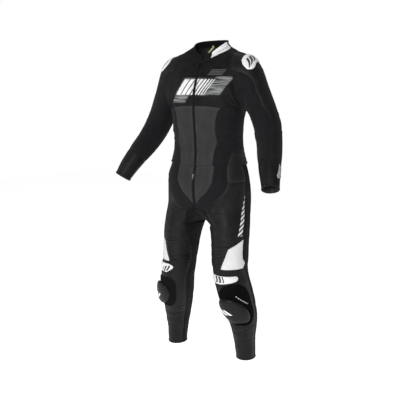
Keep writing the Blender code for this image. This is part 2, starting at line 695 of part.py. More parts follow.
def paint_material(name, red, green, blue, roughness, metallic):
    material = bpy.data.materials.new(name)
    material.use_nodes = True
    shader = material.node_tree.nodes["Principled BSDF"]
    shader.inputs["Base Color"].default_value = (red, green, blue, 1.0)
    shader.inputs["Roughness"].default_value = roughness
    shader.inputs["Metallic"].default_value = metallic
    return material


for leftover in list(bpy.data.objects):
    bpy.data.objects.remove(leftover, do_unlink=True)

MATERIALS = {name: paint_material(name, *values) for name, values in PAINTS.items()}

# ---------------------------------------------------------------- jacket body
TRUNK_ROWS = np.array(TRUNK_ROWS)
FLANK_SEAM = np.array(FLANK_SEAM)
ZIP_ANGLE = ZIP_SHARE * SIDE_ANGLE
front_seam = seam_at(TRUNK_ROWS, FRONT_SEAM)

points, normals = tube_grid(trunk, upper_field, TRUNK_ROWS, ZIP_ANGLE, front_seam, 5)
cut_piece("front_panel", "grey_leather", points, normals)
side_shares = two_spans(CHEST_BREAK, SIDE_ANGLE, BACK_SEAM, 4, 3)
points, normals = tube_grid(trunk, upper_field, TRUNK_ROWS, front_seam, FLANK_SEAM, side_shares)
cut_piece("side_panel", "stretch_cloth", points, normals)
points, normals = tube_grid(
    trunk, upper_field, TRUNK_ROWS[:FLANK_ROWS], FLANK_SEAM[:FLANK_ROWS], BACK_SEAM, 6)
cut_piece("flank_panel", "black_leather", points, normals)
points, normals = tube_grid(trunk, upper_field, TRUNK_ROWS, BACK_SEAM, 360 - BACK_SEAM, 8)
cut_piece("back_panel", "black_leather", points, normals, both=False)

UPPER_ROWS = np.concatenate([[0, UNDERARM / 2], UNDERARM + (1 - UNDERARM) * np.linspace(0, 1, 13)])
BELOW_NECK = UPPER_ROWS < NOTCH + 1e-6
chest_shares = two_spans(ZIP_ANGLE, CHEST_BREAK, SIDE_ANGLE, 5, 4)
chest_left = np.where(BELOW_NECK, ZIP_SHARE, 0)
points, normals = tube_grid(upper_front, upper_field, UPPER_ROWS, chest_left, 1.0, chest_shares)
cut_piece("chest", "black_leather", points, normals)
back_shares = two_spans(180.0, BACK_SEAM, SIDE_ANGLE, 5, 3)
points, normals = tube_grid(upper_back, upper_field, UPPER_ROWS, 0.0, 1.0, back_shares)
cut_piece("upper_back", "black_leather", points[:, ::-1], normals[:, ::-1], gap=SEAM_GAP)

# Front zip: one tape from the hem to the notch.
low, low_normals = tube_grid(trunk, upper_field, TRUNK_ROWS, -ZIP_ANGLE, ZIP_ANGLE, 2)
tape_rows = UPPER_ROWS[BELOW_NECK][1:]
high, high_normals = tube_grid(upper_front, upper_field, tape_rows, -ZIP_SHARE, ZIP_SHARE, 2)
tape, tape_normals = np.concatenate([low, high]), np.concatenate([low_normals, high_normals])
cut_piece("front_zip_tape", "stretch_cloth", tape, tape_normals, both=False)

# ---------------------------------------------------------------- collar and label
COLLAR_LEVELS = (0.032, 0.35, 0.7, 1.0)
COLLAR_OPENING = 2.2         # the collar's two ends stop this far from the front middle
TAB_END = 28.0               # where the fastening tab meets the white piece
FRONT_STEP, BACK_STEP = 18.0, 22.5   # between the points of the neckline's seam, in front and behind


def between_steps(place, level):
    """The collar on the straight lines between the points of the neckline's seam."""
    before = FRONT_STEP * np.floor(place / FRONT_STEP)
    share = ((place - before) / FRONT_STEP)[:, None]
    return collar(before, level) * (1 - share) + collar(before + FRONT_STEP, level) * share


def collar_piece(name, paint, angles):
    place, level = np.meshgrid(np.asarray(angles, float), COLLAR_LEVELS)
    place, level, shape = place.ravel(), level.ravel(), place.shape
    step = 1e-3
    along = collar(place + 60 * step, level) - collar(place - 60 * step, level)
    upward = collar(place, level + step) - collar(place, level - step)
    normals = unit(np.cross(along, upward)).reshape(*shape, 3)
    points = np.where((place == TAB_END)[:, None], between_steps(place, level), collar(place, level))
    cut_piece(name, paint, points.reshape(*shape, 3), normals, both=False)


collar_piece("collar_tab", "black_leather", (COLLAR_OPENING, FRONT_STEP, TAB_END))
collar_piece("collar_white", "white_leather", (TAB_END, *(np.arange(2, 6) * FRONT_STEP)))
collar_piece("collar_black", "black_leather", np.concatenate([
    90 + BACK_STEP * np.arange(9), 270 + FRONT_STEP * np.arange(1, 5), [360 - COLLAR_OPENING]]))

points, normals = tube_grid(upper_back, upper_field, LABEL["rows"], *LABEL["across"], 2)
hung = (points - normals * (WALL + LABEL["clear"])) * (-1, 1, 1)
add_solid("neck_label", "label_cloth", hung, hung - normals * (-1, 1, 1) * LABEL["thick"])

# ---------------------------------------------------------------- sleeves
SLEEVE_ROWS = np.array(SLEEVE_ROWS)
upper_rows = SLEEVE_ROWS[:CUFF_ROW + 1]
outer_front, outer_back = seam_at(upper_rows, OUTER_FRONT), seam_at(upper_rows, OUTER_BACK)
points, normals = tube_grid(sleeve, upper_field, upper_rows, outer_back, outer_front, 11)
cut_piece("sleeve_outer", "black_leather", points, normals)
points, normals = tube_grid(sleeve, upper_field, upper_rows, outer_front, outer_back + 360, 13)
cut_piece("sleeve_stretch", "stretch_cloth", points, normals)
points, normals = tube_grid(sleeve, upper_field, SLEEVE_ROWS[CUFF_ROW:], CUFF_SEAM, CUFF_SEAM + 360, 16)
cut_piece("cuff", "black_leather", points, normals)

# ---------------------------------------------------------------- trousers
ROW = np.arange(len(LEG_ROWS["middle"]), dtype=float)
FLY_TOP = slice(0, FLY_ROW + 2)
middle_front, middle_back = front_middle(ROW), back_middle(ROW)
groin_edge, side_edge = seam_at(ROW, GROIN_EDGE), seam_at(ROW, SIDE_EDGE)
white_edge, fly_edge = seam_at(ROW, WHITE_EDGE), seam_at(ROW, FLY_EDGE)
knee_inner, knee_outer = seam_at(ROW, KNEE_INNER), seam_at(ROW, KNEE_OUTER)
rear_edge = np.where(ROW <= CROTCH_ROW, middle_back, seam_at(ROW, BACK_EDGE))
tape_half = np.where(ROW <= FLY_ROW, FLY_TAPE, np.where(ROW == FLY_ROW + 1, FLY_POINT, 0.0))
groin_left = np.where(ROW <= FLY_ROW, fly_edge, middle_front + tape_half)


def leg_piece(name, paint, first, last, left, right, columns):
    rows = slice(first, last + 1)
    points, normals = tube_grid(leg, lower_field, ROW[rows], left[rows], right[rows], columns)
    cut_piece(name, paint, points, normals)


leg_piece("fly_panel", "grey_leather", 0, FLY_ROW, middle_front + tape_half, fly_edge, 3)
leg_piece("groin_panel", "stretch_cloth", 0, CROTCH_ROW, groin_left, groin_edge, 5)
leg_piece("hip_panel", "black_leather", 0, HIP_SEAM, groin_edge, side_edge, 5)
thigh_outer = np.where(ROW < WHITE_TOP, side_edge, white_edge)
leg_piece("thigh_front", "black_leather", HIP_SEAM, THIGH_END, groin_edge, thigh_outer, 5)
leg_piece("seat", "black_leather", 0, KNEE_TOP, side_edge, rear_edge, 8)
leg_piece("inner_leg", "stretch_cloth", CROTCH_ROW, KNEE_TOP, rear_edge - 360, groin_edge, 5)
leg_piece("knee_side", "white_leather", WHITE_TOP, KNEE_TOP, white_edge, side_edge, 4)
leg_piece("knee_front", "black_leather", KNEE_TOP, SHIN_TOP, knee_inner, knee_outer, 7)
leg_piece("knee_back", "stretch_cloth", KNEE_TOP, CALF_TOP, knee_outer, knee_inner + 360, 7)
leg_piece("calf", "black_leather", CALF_TOP, LEG_HEM, knee_outer, knee_inner + 360, 7)
leg_piece("shin", "black_leather", SHIN_TOP, LEG_HEM, knee_inner, knee_outer, 7)

# Accordion above the knee: ribs run round the leg, raised in the outer points alone.
rib_share = np.linspace(0, 1, RIBS["count"] * RIBS["steps"] + 1)
rib_rows = THIGH_END + (KNEE_TOP - THIGH_END) * rib_share
rib_left, rib_right = np.interp(rib_rows, ROW, groin_edge), np.interp(rib_rows, ROW, white_edge)
points, normals = tube_grid(leg, lower_field, rib_rows, rib_left, rib_right, 5)
wave = RIBS["height"] * np.sin(np.pi * RIBS["count"] * rib_share) ** 2
cut_piece("knee_accordion", "black_leather", points, normals, relief=wave[:, None, None])

# Fly zip: its tape ends in a point.
half_points, half_normals = tube_grid(
    leg, lower_field, ROW[FLY_TOP], middle_front[FLY_TOP], (middle_front + tape_half)[FLY_TOP], 1)
half_points[:, 0, 0] = 0.0
half_normals[:, 0, 0] = 0.0
fly_tape = np.concatenate([mirrored(half_points), half_points[:, 1:]], axis=1)
fly_normals = np.concatenate([mirrored(half_normals), half_normals[:, 1:]], axis=1)
cut_piece("fly_zip_tape", "stretch_cloth", fly_tape, unit(fly_normals), both=False)


# ---------------------------------------------------------------- hard plates
def plate(name, paint, tube, field, spec, sides):
    """A hard plate lying on the cloth, thickest in the middle."""
    back, front = np.array(spec["back"], float), np.array(spec["front"], float)
    points, normals = tube_grid(tube, field, spec["rows"], back, front, spec["columns"])
    across = np.abs(np.linspace(-1, 1, points.shape[1]))[None, :]
    up = np.abs(np.linspace(-1, 1, points.shape[0]))[:, None]
    dome = (1 - across ** spec["squareness"]) * (1 - up ** spec["squareness"])
    thick = spec["edge"] + (spec["thick"] - spec["edge"]) * dome
    inner = points + normals * spec["lift"]
    outer = inner + normals * thick[..., None]
    if "left" in sides:
        add_solid(name + "_left", paint, outer, inner)
    if "right" in sides:
        add_solid(name + "_right", paint, mirrored(outer), mirrored(inner))


plate("shoulder_cap", "white_cap", sleeve, upper_field, CAP, ("left", "right"))
KNEE_ARMOUR = (("left", SHIELD_LEFT, PAD_LEFT, PUCK_LEFT), ("right", SHIELD_RIGHT, PAD_RIGHT, PUCK_RIGHT))
for side, shield, pad, puck in KNEE_ARMOUR:
    plate("knee_shield", "white_cap", leg, lower_field, SHIELD | shield, (side,))
    plate("slider_pad", "stretch_cloth", leg, lower_field, PAD | pad, (side,))
    plate("knee_slider", "slider_plastic", leg, lower_field, PUCK | puck, (side,))


# ---------------------------------------------------------------- zip sliders and their pull tabs
def zip_slider(name, tube, field, place, level):
    """A slider on the front middle with its pull tab, whose origin is on the line it turns about."""
    point = tube(np.array([place]), np.array([level]))[0] * (0, 1, 1)
    normal = unit(slope(field, point[None])[0] * (0, 1, 1))
    upward = np.array([0, -normal[2], normal[1]]) * np.sign(normal[1])
    side = np.array([1.0, 0, 0])
    half, channel = SLIDER["half_width"], SLIDER["channel"]
    outline = (
        (-half, SLIDER["under"]), (half, SLIDER["under"]), (half, SLIDER["wall_top"]),
        (channel, SLIDER["wall_top"]), (channel, SLIDER["floor"]), (-channel, SLIDER["floor"]),
        (-channel, SLIDER["wall_top"]), (-half, SLIDER["wall_top"]),
    )
    ends = (SLIDER["above"], -SLIDER["below"])
    sections = [[point + side * x + normal * n + upward * at for x, n in outline] for at in ends]
    ruled(name + "_slider", "zip_metal", sections, point)
    low, high = TAB["under"], TAB["under"] + TAB["thick"]
    sections = [
        [point + side * x + normal * n + upward * at for x, n in ((-w, low), (w, low), (w, high), (-w, high))]
        for at, w in zip(TAB["along"], TAB["half_width"])
    ]
    ruled(name + "_pull", "zip_metal", sections, point + normal * (low + high) / 2)


zip_slider("front_zip", upper_front, upper_field, 0.0, FRONT_SLIDER_ROW)
zip_slider("fly_zip", leg, lower_field, np.interp(FLY_SLIDER_ROW, ROW, middle_front), FLY_SLIDER_ROW)
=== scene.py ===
# %% [markdown]
# # A two-piece leather race suit, worn by nobody
# This notebook dresses the solids of a motorcycle race suit. The suit is shown the way a shop shows it:
# filled out as if worn, but hollow. Every cut piece is made again as a thin shell with its own creases,
# ribs, seams and stitching, because cloth and leather live from what light does on small forms.

# %% Load the solids
import json

import bpy
import numpy as np
from mathutils import Matrix


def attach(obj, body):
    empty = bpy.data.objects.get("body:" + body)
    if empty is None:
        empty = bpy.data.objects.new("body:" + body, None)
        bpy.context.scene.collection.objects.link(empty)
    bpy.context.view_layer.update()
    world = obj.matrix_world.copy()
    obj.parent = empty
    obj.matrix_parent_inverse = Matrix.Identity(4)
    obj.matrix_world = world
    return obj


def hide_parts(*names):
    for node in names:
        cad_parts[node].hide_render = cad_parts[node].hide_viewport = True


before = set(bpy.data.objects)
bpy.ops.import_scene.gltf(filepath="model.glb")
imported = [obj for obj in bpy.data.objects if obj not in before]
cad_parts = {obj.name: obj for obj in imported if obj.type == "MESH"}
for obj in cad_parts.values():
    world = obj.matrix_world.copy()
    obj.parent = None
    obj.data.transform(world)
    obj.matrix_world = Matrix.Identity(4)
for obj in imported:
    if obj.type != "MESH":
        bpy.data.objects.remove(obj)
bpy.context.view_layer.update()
HELD_HEIGHT = 1.475          # the neck base stands this high over the wearer's soles
SOLES = -HELD_HEIGHT         # so the floor of the studio is here

# %% [markdown]
# ## The camera
# A portrait lens from two and a half metres keeps the proportions of a standing figure. The camera
# stands to the suit's left, at the height of its chest, and looks slightly down.

# %% Camera
def put(thing, place, right, up, back):
    """Places an object in the studio, turned to its own three axes."""
    axes = np.column_stack([right, up, back, place])
    thing.matrix_world = Matrix(np.vstack([axes, (0, 0, 0, 1)]).tolist())
    bpy.context.scene.collection.objects.link(thing)


CAMERA_AZIMUTH = np.radians(31.29)     # from straight ahead, towards the suit's left
CAMERA_DISTANCE = 2.616
CAMERA_HEIGHT = 1.327                  # over the soles
CAMERA_PITCH = np.radians(9.94)        # looking down
CAMERA_SIDESTEP = -0.040
SENSOR = 36.0                          # mm
LENS = 54.828                          # mm, a short portrait lens

right = np.array([np.cos(CAMERA_AZIMUTH), np.sin(CAMERA_AZIMUTH), 0])
ahead = np.array([
    -np.sin(CAMERA_AZIMUTH) * np.cos(CAMERA_PITCH),
    np.cos(CAMERA_AZIMUTH) * np.cos(CAMERA_PITCH),
    -np.sin(CAMERA_PITCH),
])
place = np.array([
    CAMERA_DISTANCE * np.sin(CAMERA_AZIMUTH),
    -CAMERA_DISTANCE * np.cos(CAMERA_AZIMUTH),
    CAMERA_HEIGHT + SOLES,
]) + right * CAMERA_SIDESTEP
lens = bpy.data.cameras.new("studio_camera")
lens.sensor_width, lens.lens = SENSOR, LENS
camera = bpy.data.objects.new("studio_camera", lens)
put(camera, place, right, np.cross(right, ahead), -ahead)
bpy.context.scene.camera = camera
print("lens", round(LENS, 1), "mm")

# %% [markdown]
# ## The studio
# Product pictures of dark leather use big soft sources, because a small lamp would leave hard glints on
# every crease. One large panel stands in front, weaker ones on each side and behind, overhead, and the
# pale room fills the rest.

# %% Floor, lights and room
def soft_panel(name, place, aim, size, power):
    lamp = bpy.data.lights.new(name, "AREA")
    lamp.shape = "RECTANGLE"
    lamp.size, lamp.size_y = size
    lamp.energy = power
    away = np.array(place, float) - aim
    away = away / np.linalg.norm(away)
    flat = np.cross((0, 0, 1), away)
    flat = flat / np.linalg.norm(flat)
    put(bpy.data.objects.new(name, lamp), place, flat, np.cross(away, flat), away)


soft_panel("key_panel", (0.75, -2.7, 0.48), (0, 0, -0.46), (1.5, 1.5), 70)
soft_panel("left_panel", (3.0, -1.6, 0.8), (0, 0, -0.2), (1.4, 1.6), 3)
soft_panel("right_panel", (-3.0, -1.2, 0.6), (0, 0, -0.6), (1.4, 2.2), 22)
soft_panel("top_panel", (0, 1.0, 2.6), (0, 0, -0.4), (2.2, 1.8), 12)

ROOM_LIGHT = 0.37            # the room lights the suit this strongly, against its white wall
room = bpy.data.worlds.new("studio_room")
room.use_nodes = True
backdrop = room.node_tree.nodes["Background"]
backdrop.inputs["Color"].default_value = (1.0, 1.0, 1.0, 1.0)
seen = room.node_tree.nodes.new("ShaderNodeLightPath")
brightness = room.node_tree.nodes.new("ShaderNodeMapRange")
brightness.inputs["To Min"].default_value = ROOM_LIGHT
brightness.inputs["To Max"].default_value = 1.0
room.node_tree.links.new(seen.outputs["Is Camera Ray"], brightness.inputs["Value"])
room.node_tree.links.new(brightness.outputs["Result"], backdrop.inputs["Strength"])
bpy.context.scene.world = room
bpy.context.scene.view_settings.view_transform = "Standard"

FLOOR_HALF = 6.0
FLOOR_GLOW = 0.62            # lifts the floor to the same white as the wall
floor_mesh = bpy.data.meshes.new("studio_floor")
floor_mesh.from_pydata(
    [(-FLOOR_HALF, -FLOOR_HALF, SOLES), (FLOOR_HALF, -FLOOR_HALF, SOLES),
     (FLOOR_HALF, FLOOR_HALF, SOLES), (-FLOOR_HALF, FLOOR_HALF, SOLES)], [], [(0, 1, 2, 3)])
floor_paint = bpy.data.materials.new("studio_floor_paint")
floor_paint.use_nodes = True
floor_shader = floor_paint.node_tree.nodes["Principled BSDF"]
floor_shader.inputs["Base Color"].default_value = (0.95, 0.95, 0.95, 1.0)
floor_shader.inputs["Roughness"].default_value = 0.9
floor_shader.inputs["Emission Color"].default_value = (1.0, 1.0, 1.0, 1.0)
floor_shader.inputs["Emission Strength"].default_value = FLOOR_GLOW
floor_mesh.materials.append(floor_paint)
floor = bpy.data.objects.new("studio_floor", floor_mesh)
bpy.context.scene.collection.objects.link(floor)

# %% [markdown]
# ## Writing materials as sums
# A material is a graph of nodes. Adding them one by one hides the idea, so `Wire` wraps one number
# socket and gives it arithmetic: `1 - mask * 0.4` adds the Math nodes by itself. Colours never go
# through it, because a Math node would turn them grey.

# %% Wire
class Wire:
    """One number of a material, with its arithmetic."""

    def __init__(self, finish, socket):
        self.finish, self.socket = finish, socket

    def math(self, operation, *others):
        return self.finish.node("Math", {"operation": operation}, dict(enumerate((self, *others))))[0]

    def __add__(self, other):
        return self.math("ADD", other)

    def __mul__(self, other):
        return self.math("MULTIPLY", other)

    def __sub__(self, other):
        return self.math("SUBTRACT", other)

    def __truediv__(self, other):
        return self.math("DIVIDE", other)

    def __rsub__(self, other):
        return self.finish.node("Math", {"operation": "SUBTRACT"}, {0: other, 1: self})[0]

    def __gt__(self, other):
        return self.math("GREATER_THAN", other)

    __radd__ = __add__
    __rmul__ = __mul__

    def most(self, other):
        return self.math("MAXIMUM", other)

    def least(self, other):
        return self.math("MINIMUM", other)

    def fraction(self):
        return self.math("FRACT")

    def size(self):
        return self.math("ABSOLUTE")

    def wave(self):
        return self.math("SINE")

    def held(self, low, high):
        """This value's way from low to high, kept between 0 and 1."""
        node = self.finish.node(
            "MapRange", {"clamp": True}, {"Value": self, "From Min": low, "From Max": high})
        return node["Result"]


# %% Finish
class Outputs:
    def __init__(self, finish, node):
        self.finish, self.node = finish, node

    def __getitem__(self, key):
        return Wire(self.finish, self.node.outputs[key])


class Finish:
    """One material and the shader that its nodes feed."""

    def __init__(self, name):
        self.material = bpy.data.materials.new(name)
        self.material.use_nodes = True
        self.tree = self.material.node_tree
        self.shader = self.tree.nodes["Principled BSDF"]

    def node(self, kind, settings, sockets):
        made = self.tree.nodes.new("ShaderNode" + kind)
        for key, value in settings.items():
            setattr(made, key, value)
        for key, value in sockets.items():
            if isinstance(value, Wire):
                self.tree.links.new(value.socket, made.inputs[key])
            else:
                made.inputs[key].default_value = value
        return Outputs(self, made)

    def mix(self, share, first, second):
        """A colour between two colours."""
        return self.node(
            "Mix", {"data_type": "RGBA", "clamp_factor": True}, {0: share, 6: first, 7: second})[2]

    def set(self, **sockets):
        """Links or sets the shader's inputs; their names are written with _ for each space."""
        for key, value in sockets.items():
            slot = self.shader.inputs[key.replace("_", " ")]
            if isinstance(value, Wire):
                self.tree.links.new(value.socket, slot)
            else:
                slot.default_value = value

    def bump(self, height, distance):
        """A Normal that follows `height`, a wire."""
        return self.node("Bump", {}, {"Height": height, "Distance": distance, "Strength": 1.0})["Normal"]


def shade(red, green=None, blue=None):
    green, blue = (red, red) if green is None else (green, blue)
    return (red, green, blue, 1.0)


# %% [markdown]
# ## What every sewn piece has
# Each shell carries two maps. `cloth` is the piece laid flat, in metres, so that grain, weave and
# perforation come out at real size. `edge` is the distance to the nearest side seam and end seam.
# Topstitching is then a thin dashed line at a fixed distance from the edge, as a sewing machine makes it.

# %% Flat coordinates, grain and stitches
def flat_places(finish):
    """Metres across and along the cloth, and metres to the nearest side and end edge."""
    flat = finish.node("UVMap", {"uv_map": "cloth"}, {})["UV"]
    edge = finish.node("UVMap", {"uv_map": "edge"}, {})["UV"]
    across = finish.node("SeparateXYZ", {}, {"Vector": flat})
    nearest = finish.node("SeparateXYZ", {}, {"Vector": edge})
    return flat, across["X"], across["Y"], nearest["X"], nearest["Y"]


def grazing(finish):
    """0 face on, 1 where the surface turns away: dull cloth and hide lose their shine there."""
    return finish.node("LayerWeight", {}, {"Blend": 0.5})["Facing"].held(0.55, 0.95)


def stitch_line(side, along, distance, pitch=0.0034, thread=0.0009):
    """1 on the stitches of one seam: dashes at a fixed distance from the edge."""
    near = 1 - ((side - distance).size() / (thread * 0.5)).held(0.55, 1.0)
    dash = ((along / pitch).fraction() - 0.5).size().held(0.42, 0.34)
    return near * dash


def stitches(across, along, side, end, distances):
    lines = None
    for distance in distances:
        pair = stitch_line(side, along, distance).most(stitch_line(end, across, distance))
        lines = pair if lines is None else lines.most(pair)
    return lines


def speckle(finish, flat, scale, detail=3.0, roughness=0.55):
    return finish.node(
        "TexNoise", {"noise_dimensions": "2D"},
        {"Vector": flat, "Scale": scale, "Detail": detail, "Roughness": roughness})["Fac"]


def pebbles(finish, flat, scale):
    """Distance to the nearest leather pore's edge, small in the creases between pebbles."""
    return finish.node(
        "TexVoronoi", {"voronoi_dimensions": "2D", "feature": "DISTANCE_TO_EDGE"},
        {"Vector": flat, "Scale": scale})["Distance"]


# %% [markdown]
# ## Leather
# Race suits are cut from cowhide 1.2 to 1.4 mm thick with a corrected, pebbled grain. The pebbles are
# about a millimetre wide and hardly raised, so they only break the sheen. Handling polishes the hide
# along seams and folds, and the dye is never quite even. Perforated hide has rows of punched holes.

# %% Leather finishes
def leather(name, dark, light, gloss, perforated=False, worn=0.10, thread=0.016, shine=0.17, print_of=None):
    """Hide between two dyes. `gloss` is its roughness, `worn` how pale its rims are rubbed, and `print_of`
    gives the masks and inks of its print."""
    finish = Finish(name)
    flat, across, along, side, end = flat_places(finish)
    cloudy = speckle(finish, flat, 22.0, 4.0)
    fine = speckle(finish, flat, 420.0, 2.0)
    pores = pebbles(finish, flat, 820.0).held(0.0, 0.35)
    colour = finish.mix(cloudy.held(0.30, 0.72), dark, light)
    # Painted shade: the creases between the pebbles are darkened.
    colour = finish.mix((1 - pores) * 0.30, colour, shade(0.004))
    rim = (side.least(end)).held(0.0032, 0.0004)
    colour = finish.mix(rim * fine.held(0.35, 0.75) * worn, colour, shade(light[0] * 2.4 + 0.03))
    sewn = stitches(across, along, side, end, (0.0028, 0.0078))
    height = pores * 0.35 + fine * 0.30 + sewn * 1.6
    rough = gloss + cloudy * 0.12 - pores * 0.05 - rim * 0.08 + grazing(finish) * 0.45
    if perforated:
        pitch, hole = 0.0052, 0.00085
        stagger = ((along / (2 * pitch)).fraction() > 0.5) * (pitch * 0.5)
        from_x = (((across + stagger) / pitch).fraction() - 0.5) * pitch
        from_y = ((along / pitch).fraction() - 0.5) * pitch
        away = (from_x * from_x + from_y * from_y).math("SQRT")
        punched = away.held(hole * 1.15, hole * 0.85) * side.least(end).held(0.011, 0.013)
        colour = finish.mix(punched, colour, shade(0.002))
        height = height - punched * 2.5
        rough = rough + punched * 0.3
    if print_of is not None:
        worn_ink = fine.held(0.18, 0.34) * (0.6 + pores * 0.4)
        for mask, ink in print_of(finish):
            colour = finish.mix(mask * worn_ink, colour, ink)
    colour = finish.mix(sewn, colour, shade(thread))
    finish.set(
        Base_Color=colour, Roughness=rough + sewn * 0.3, IOR=1.46, Specular_IOR_Level=shine,
        Normal=finish.bump(height, 0.00022))
    return finish.material


BLACK_DYE = (shade(0.0036, 0.0036, 0.0038), shade(0.0078, 0.0078, 0.0081))
WHITE_DYE = (shade(0.66, 0.66, 0.665), shade(0.74, 0.74, 0.745))
COLLAR_DYE = (shade(0.78, 0.78, 0.785), shade(0.86, 0.86, 0.865))
BLACK_HIDE = leather("black_hide", *BLACK_DYE, 0.44)
# Painted light: the same black hide, dyed paler for the hip and flank panels to stand in for the light that
# falls on them.
LIT_HIP_HIDE = leather(
    "lit_hip_hide", shade(0.0082, 0.0082, 0.0085), shade(0.0135, 0.0135, 0.0139), 0.42, shine=0.20)
SOFT_HIDE = leather("soft_black_hide", *BLACK_DYE, 0.54, shine=0.07)
GREY_HIDE = leather(
    "grey_perforated_hide", shade(0.0240, 0.0242, 0.0246), shade(0.0325, 0.0327, 0.0332), 0.50,
    perforated=True, worn=0.06, thread=0.040, shine=0.12)
WHITE_HIDE = leather("white_hide", *WHITE_DYE, 0.42, worn=0.0, thread=0.50)

# %% [markdown]
# ## Stretch cloth, mesh and thread
# Where the rider bends, the suit has a woven aramid stretch cloth instead of hide: matt, faintly blue
# against the leather, with fine ribs that run across the limb. Inside, a knitted mesh lines the hide.

# %% Cloth finishes
def stretch_weave(name, dark, light, rib=0.0030):
    finish = Finish(name)
    flat, across, along, side, end = flat_places(finish)
    cloudy = speckle(finish, flat, 30.0, 3.0)
    ridge = (along * (2 * np.pi / rib)).wave() * 0.5 + 0.5
    twill = ((across + along * 0.5) * (2 * np.pi / 0.0011)).wave() * 0.5 + 0.5
    # Painted light and shade: each rib is lighter on its top and darker in the groove between ribs, on top of
    # the cloth's uneven tone.
    colour = finish.mix(cloudy.held(0.3, 0.7) * 0.5 + ridge * 0.5, dark, light)
    sewn = stitches(across, along, side, end, (0.0030,))
    colour = finish.mix(sewn, colour, shade(0.022))
    height = ridge * 1.2 + twill * 0.25 + sewn * 1.2
    finish.set(
        Base_Color=colour, Roughness=0.80 + cloudy * 0.10 + grazing(finish) * 0.1, IOR=1.45,
        Specular_IOR_Level=0.12, Sheen_Weight=0.03, Sheen_Roughness=0.45,
        Normal=finish.bump(height, 0.00030))
    return finish.material


def knitted_mesh(name, dark, light):
    finish = Finish(name)
    _, across, along, _, _ = flat_places(finish)
    pitch = 0.0030
    from_x = ((across / pitch).fraction() - 0.5) * 2
    from_y = (((along + (across / pitch).math("FLOOR") * (pitch * 0.5)) / pitch).fraction() - 0.5) * 2
    eye = (from_x * from_x + from_y * from_y).held(0.55, 0.35)
    finish.set(
        Base_Color=finish.mix(eye, light, dark), Roughness=0.9,
        Normal=finish.bump(1 - eye, 0.0003))
    return finish.material


STRETCH = stretch_weave(
    "stretch_weave", shade(0.0048, 0.0047, 0.0056), shade(0.0098, 0.0096, 0.0112))
# Painted shade: the same stretch cloth, dyed darker for the inner leg and the back of the knee to stand in
# for the shade that falls between and behind the legs.
SHADED_STRETCH = stretch_weave(
    "shaded_stretch_weave", shade(0.0020, 0.0020, 0.0024), shade(0.0046, 0.0045, 0.0053))
TAPE = stretch_weave(
    "zip_tape_weave", shade(0.0055, 0.0055, 0.0060), shade(0.0095, 0.0095, 0.0100), rib=0.0014)
LINING = knitted_mesh("lining_mesh", shade(0.004), shade(0.020))
print("materials so far:", len(bpy.data.materials))

# %% [markdown]
# ## Prints and paint
# The chest carries a printed panel: eight slanted white bars, each narrower than the one before, over a
# brushed grey ground and a few hairlines. Rows of plain slanted bars mark the thigh, the cuff and the
# collar. All of them are masks made from distances, so they stay sharp and need no picture.

# %% Bars and rows of bars
WHITE_INK = shade(0.80)
GREY_INK = shade(0.30, 0.305, 0.31)
DARK_INK = shade(0.012)


def bar(u, v, middle, half, lean=0.0, soft=0.0005):
    """1 inside a bar around `middle`, whose ends lean by `lean` for each metre of v."""
    sideways = u - middle[0] - (v - middle[1]) * lean
    return (half[0] - sideways.size()).held(0, soft) * (half[1] - (v - middle[1]).size()).held(0, soft)


def joined(masks):
    whole = masks[0]
    for mask in masks[1:]:
        whole = whole.most(mask)
    return whole


def dashes(along, across, start, stop, half, pitch, filled, lean):
    """A row of slanted bars between two places; `filled` is the bars' share of the row."""
    beat = (((along - across * lean) / pitch).fraction() - 0.5).size()
    beat = beat.held(filled / 2 + 0.02, filled / 2 - 0.02)
    inside = (along - start).held(0, 0.0005) * (stop - along).held(0, 0.0005)
    return beat * inside * (half - across.size()).held(0, 0.0006)


def worn_places(finish):
    """Metres over the soles and from the body's middle, as all pieces are drawn."""
    place = finish.node("SeparateXYZ", {}, {"Vector": finish.node("TexCoord", {}, {})["Object"]})
    return place["X"], place["Y"], place["Z"]


# %% The four prints
FADING_BARS = (              # middle x and half width of each white bar
    (-0.062, 0.0125), (-0.034, 0.0100), (-0.0105, 0.0080), (0.0095, 0.0062), (0.0265, 0.0048),
    (0.0410, 0.0036), (0.0535, 0.0026), (0.0640, 0.0018))
PRINT_LEAN = 0.62


def chest_print(finish):
    x, _, z = worn_places(finish)
    white = joined([bar(x, z, (middle, 1.352), (half, 0.0315), PRINT_LEAN) for middle, half in FADING_BARS])
    stretched = finish.node("CombineXYZ", {}, {"X": x * 14.0 + z * 30.0, "Y": z * 190.0, "Z": 0.0})["Vector"]
    streaks = speckle(finish, stretched, 1.0, 4.0, 0.6)
    ground = joined([
        bar(x, z, (-0.062, 1.315), (0.040, 0.028), PRINT_LEAN, 0.004),
        bar(x, z, (0.004, 1.353), (0.088, 0.038), PRINT_LEAN, 0.006) * 0.72,
        bar(x, z, (0.098, 1.357), (0.036, 0.038), PRINT_LEAN, 0.004)])
    lines = ((z / 0.0062).fraction() - 0.5).size().held(0.20, 0.28)
    lines = lines * bar(x, z, (0.085, 1.411), (0.030, 0.013), PRINT_LEAN) * 0.30
    return [((ground * streaks.held(0.36, 0.66)).most(lines), GREY_INK), (white, WHITE_INK)]


def thigh_print(finish):
    """Bars down the outer front of the thigh."""
    x, y, z = worn_places(finish)
    across = y + 0.070 - (z - 0.737) * 0.347
    return [(dashes(z, across, 0.742, 0.912, 0.0105, 0.0213, 0.58, 0.8) * (x.size() > 0.12), WHITE_INK)]


def cuff_print(finish):
    """The same, smaller, along the outer side of the cuff."""
    x, y, z = worn_places(finish)
    along = z * 0.725 + y * 0.688
    across = z * 0.688 - y * 0.725 - 0.790
    return [(dashes(along, across, 0.640, 0.700, 0.0085, 0.0120, 0.56, 0.8) * (x.size() > 0.345), WHITE_INK)]


def collar_print(finish):
    """A row of dark bars round the white half of the collar."""
    _, across, along, _, _ = flat_places(finish)
    return [(dashes(across, along - 0.0150, -0.026, 0.030, 0.0040, 0.0080, 0.50, 0.7), DARK_INK)]


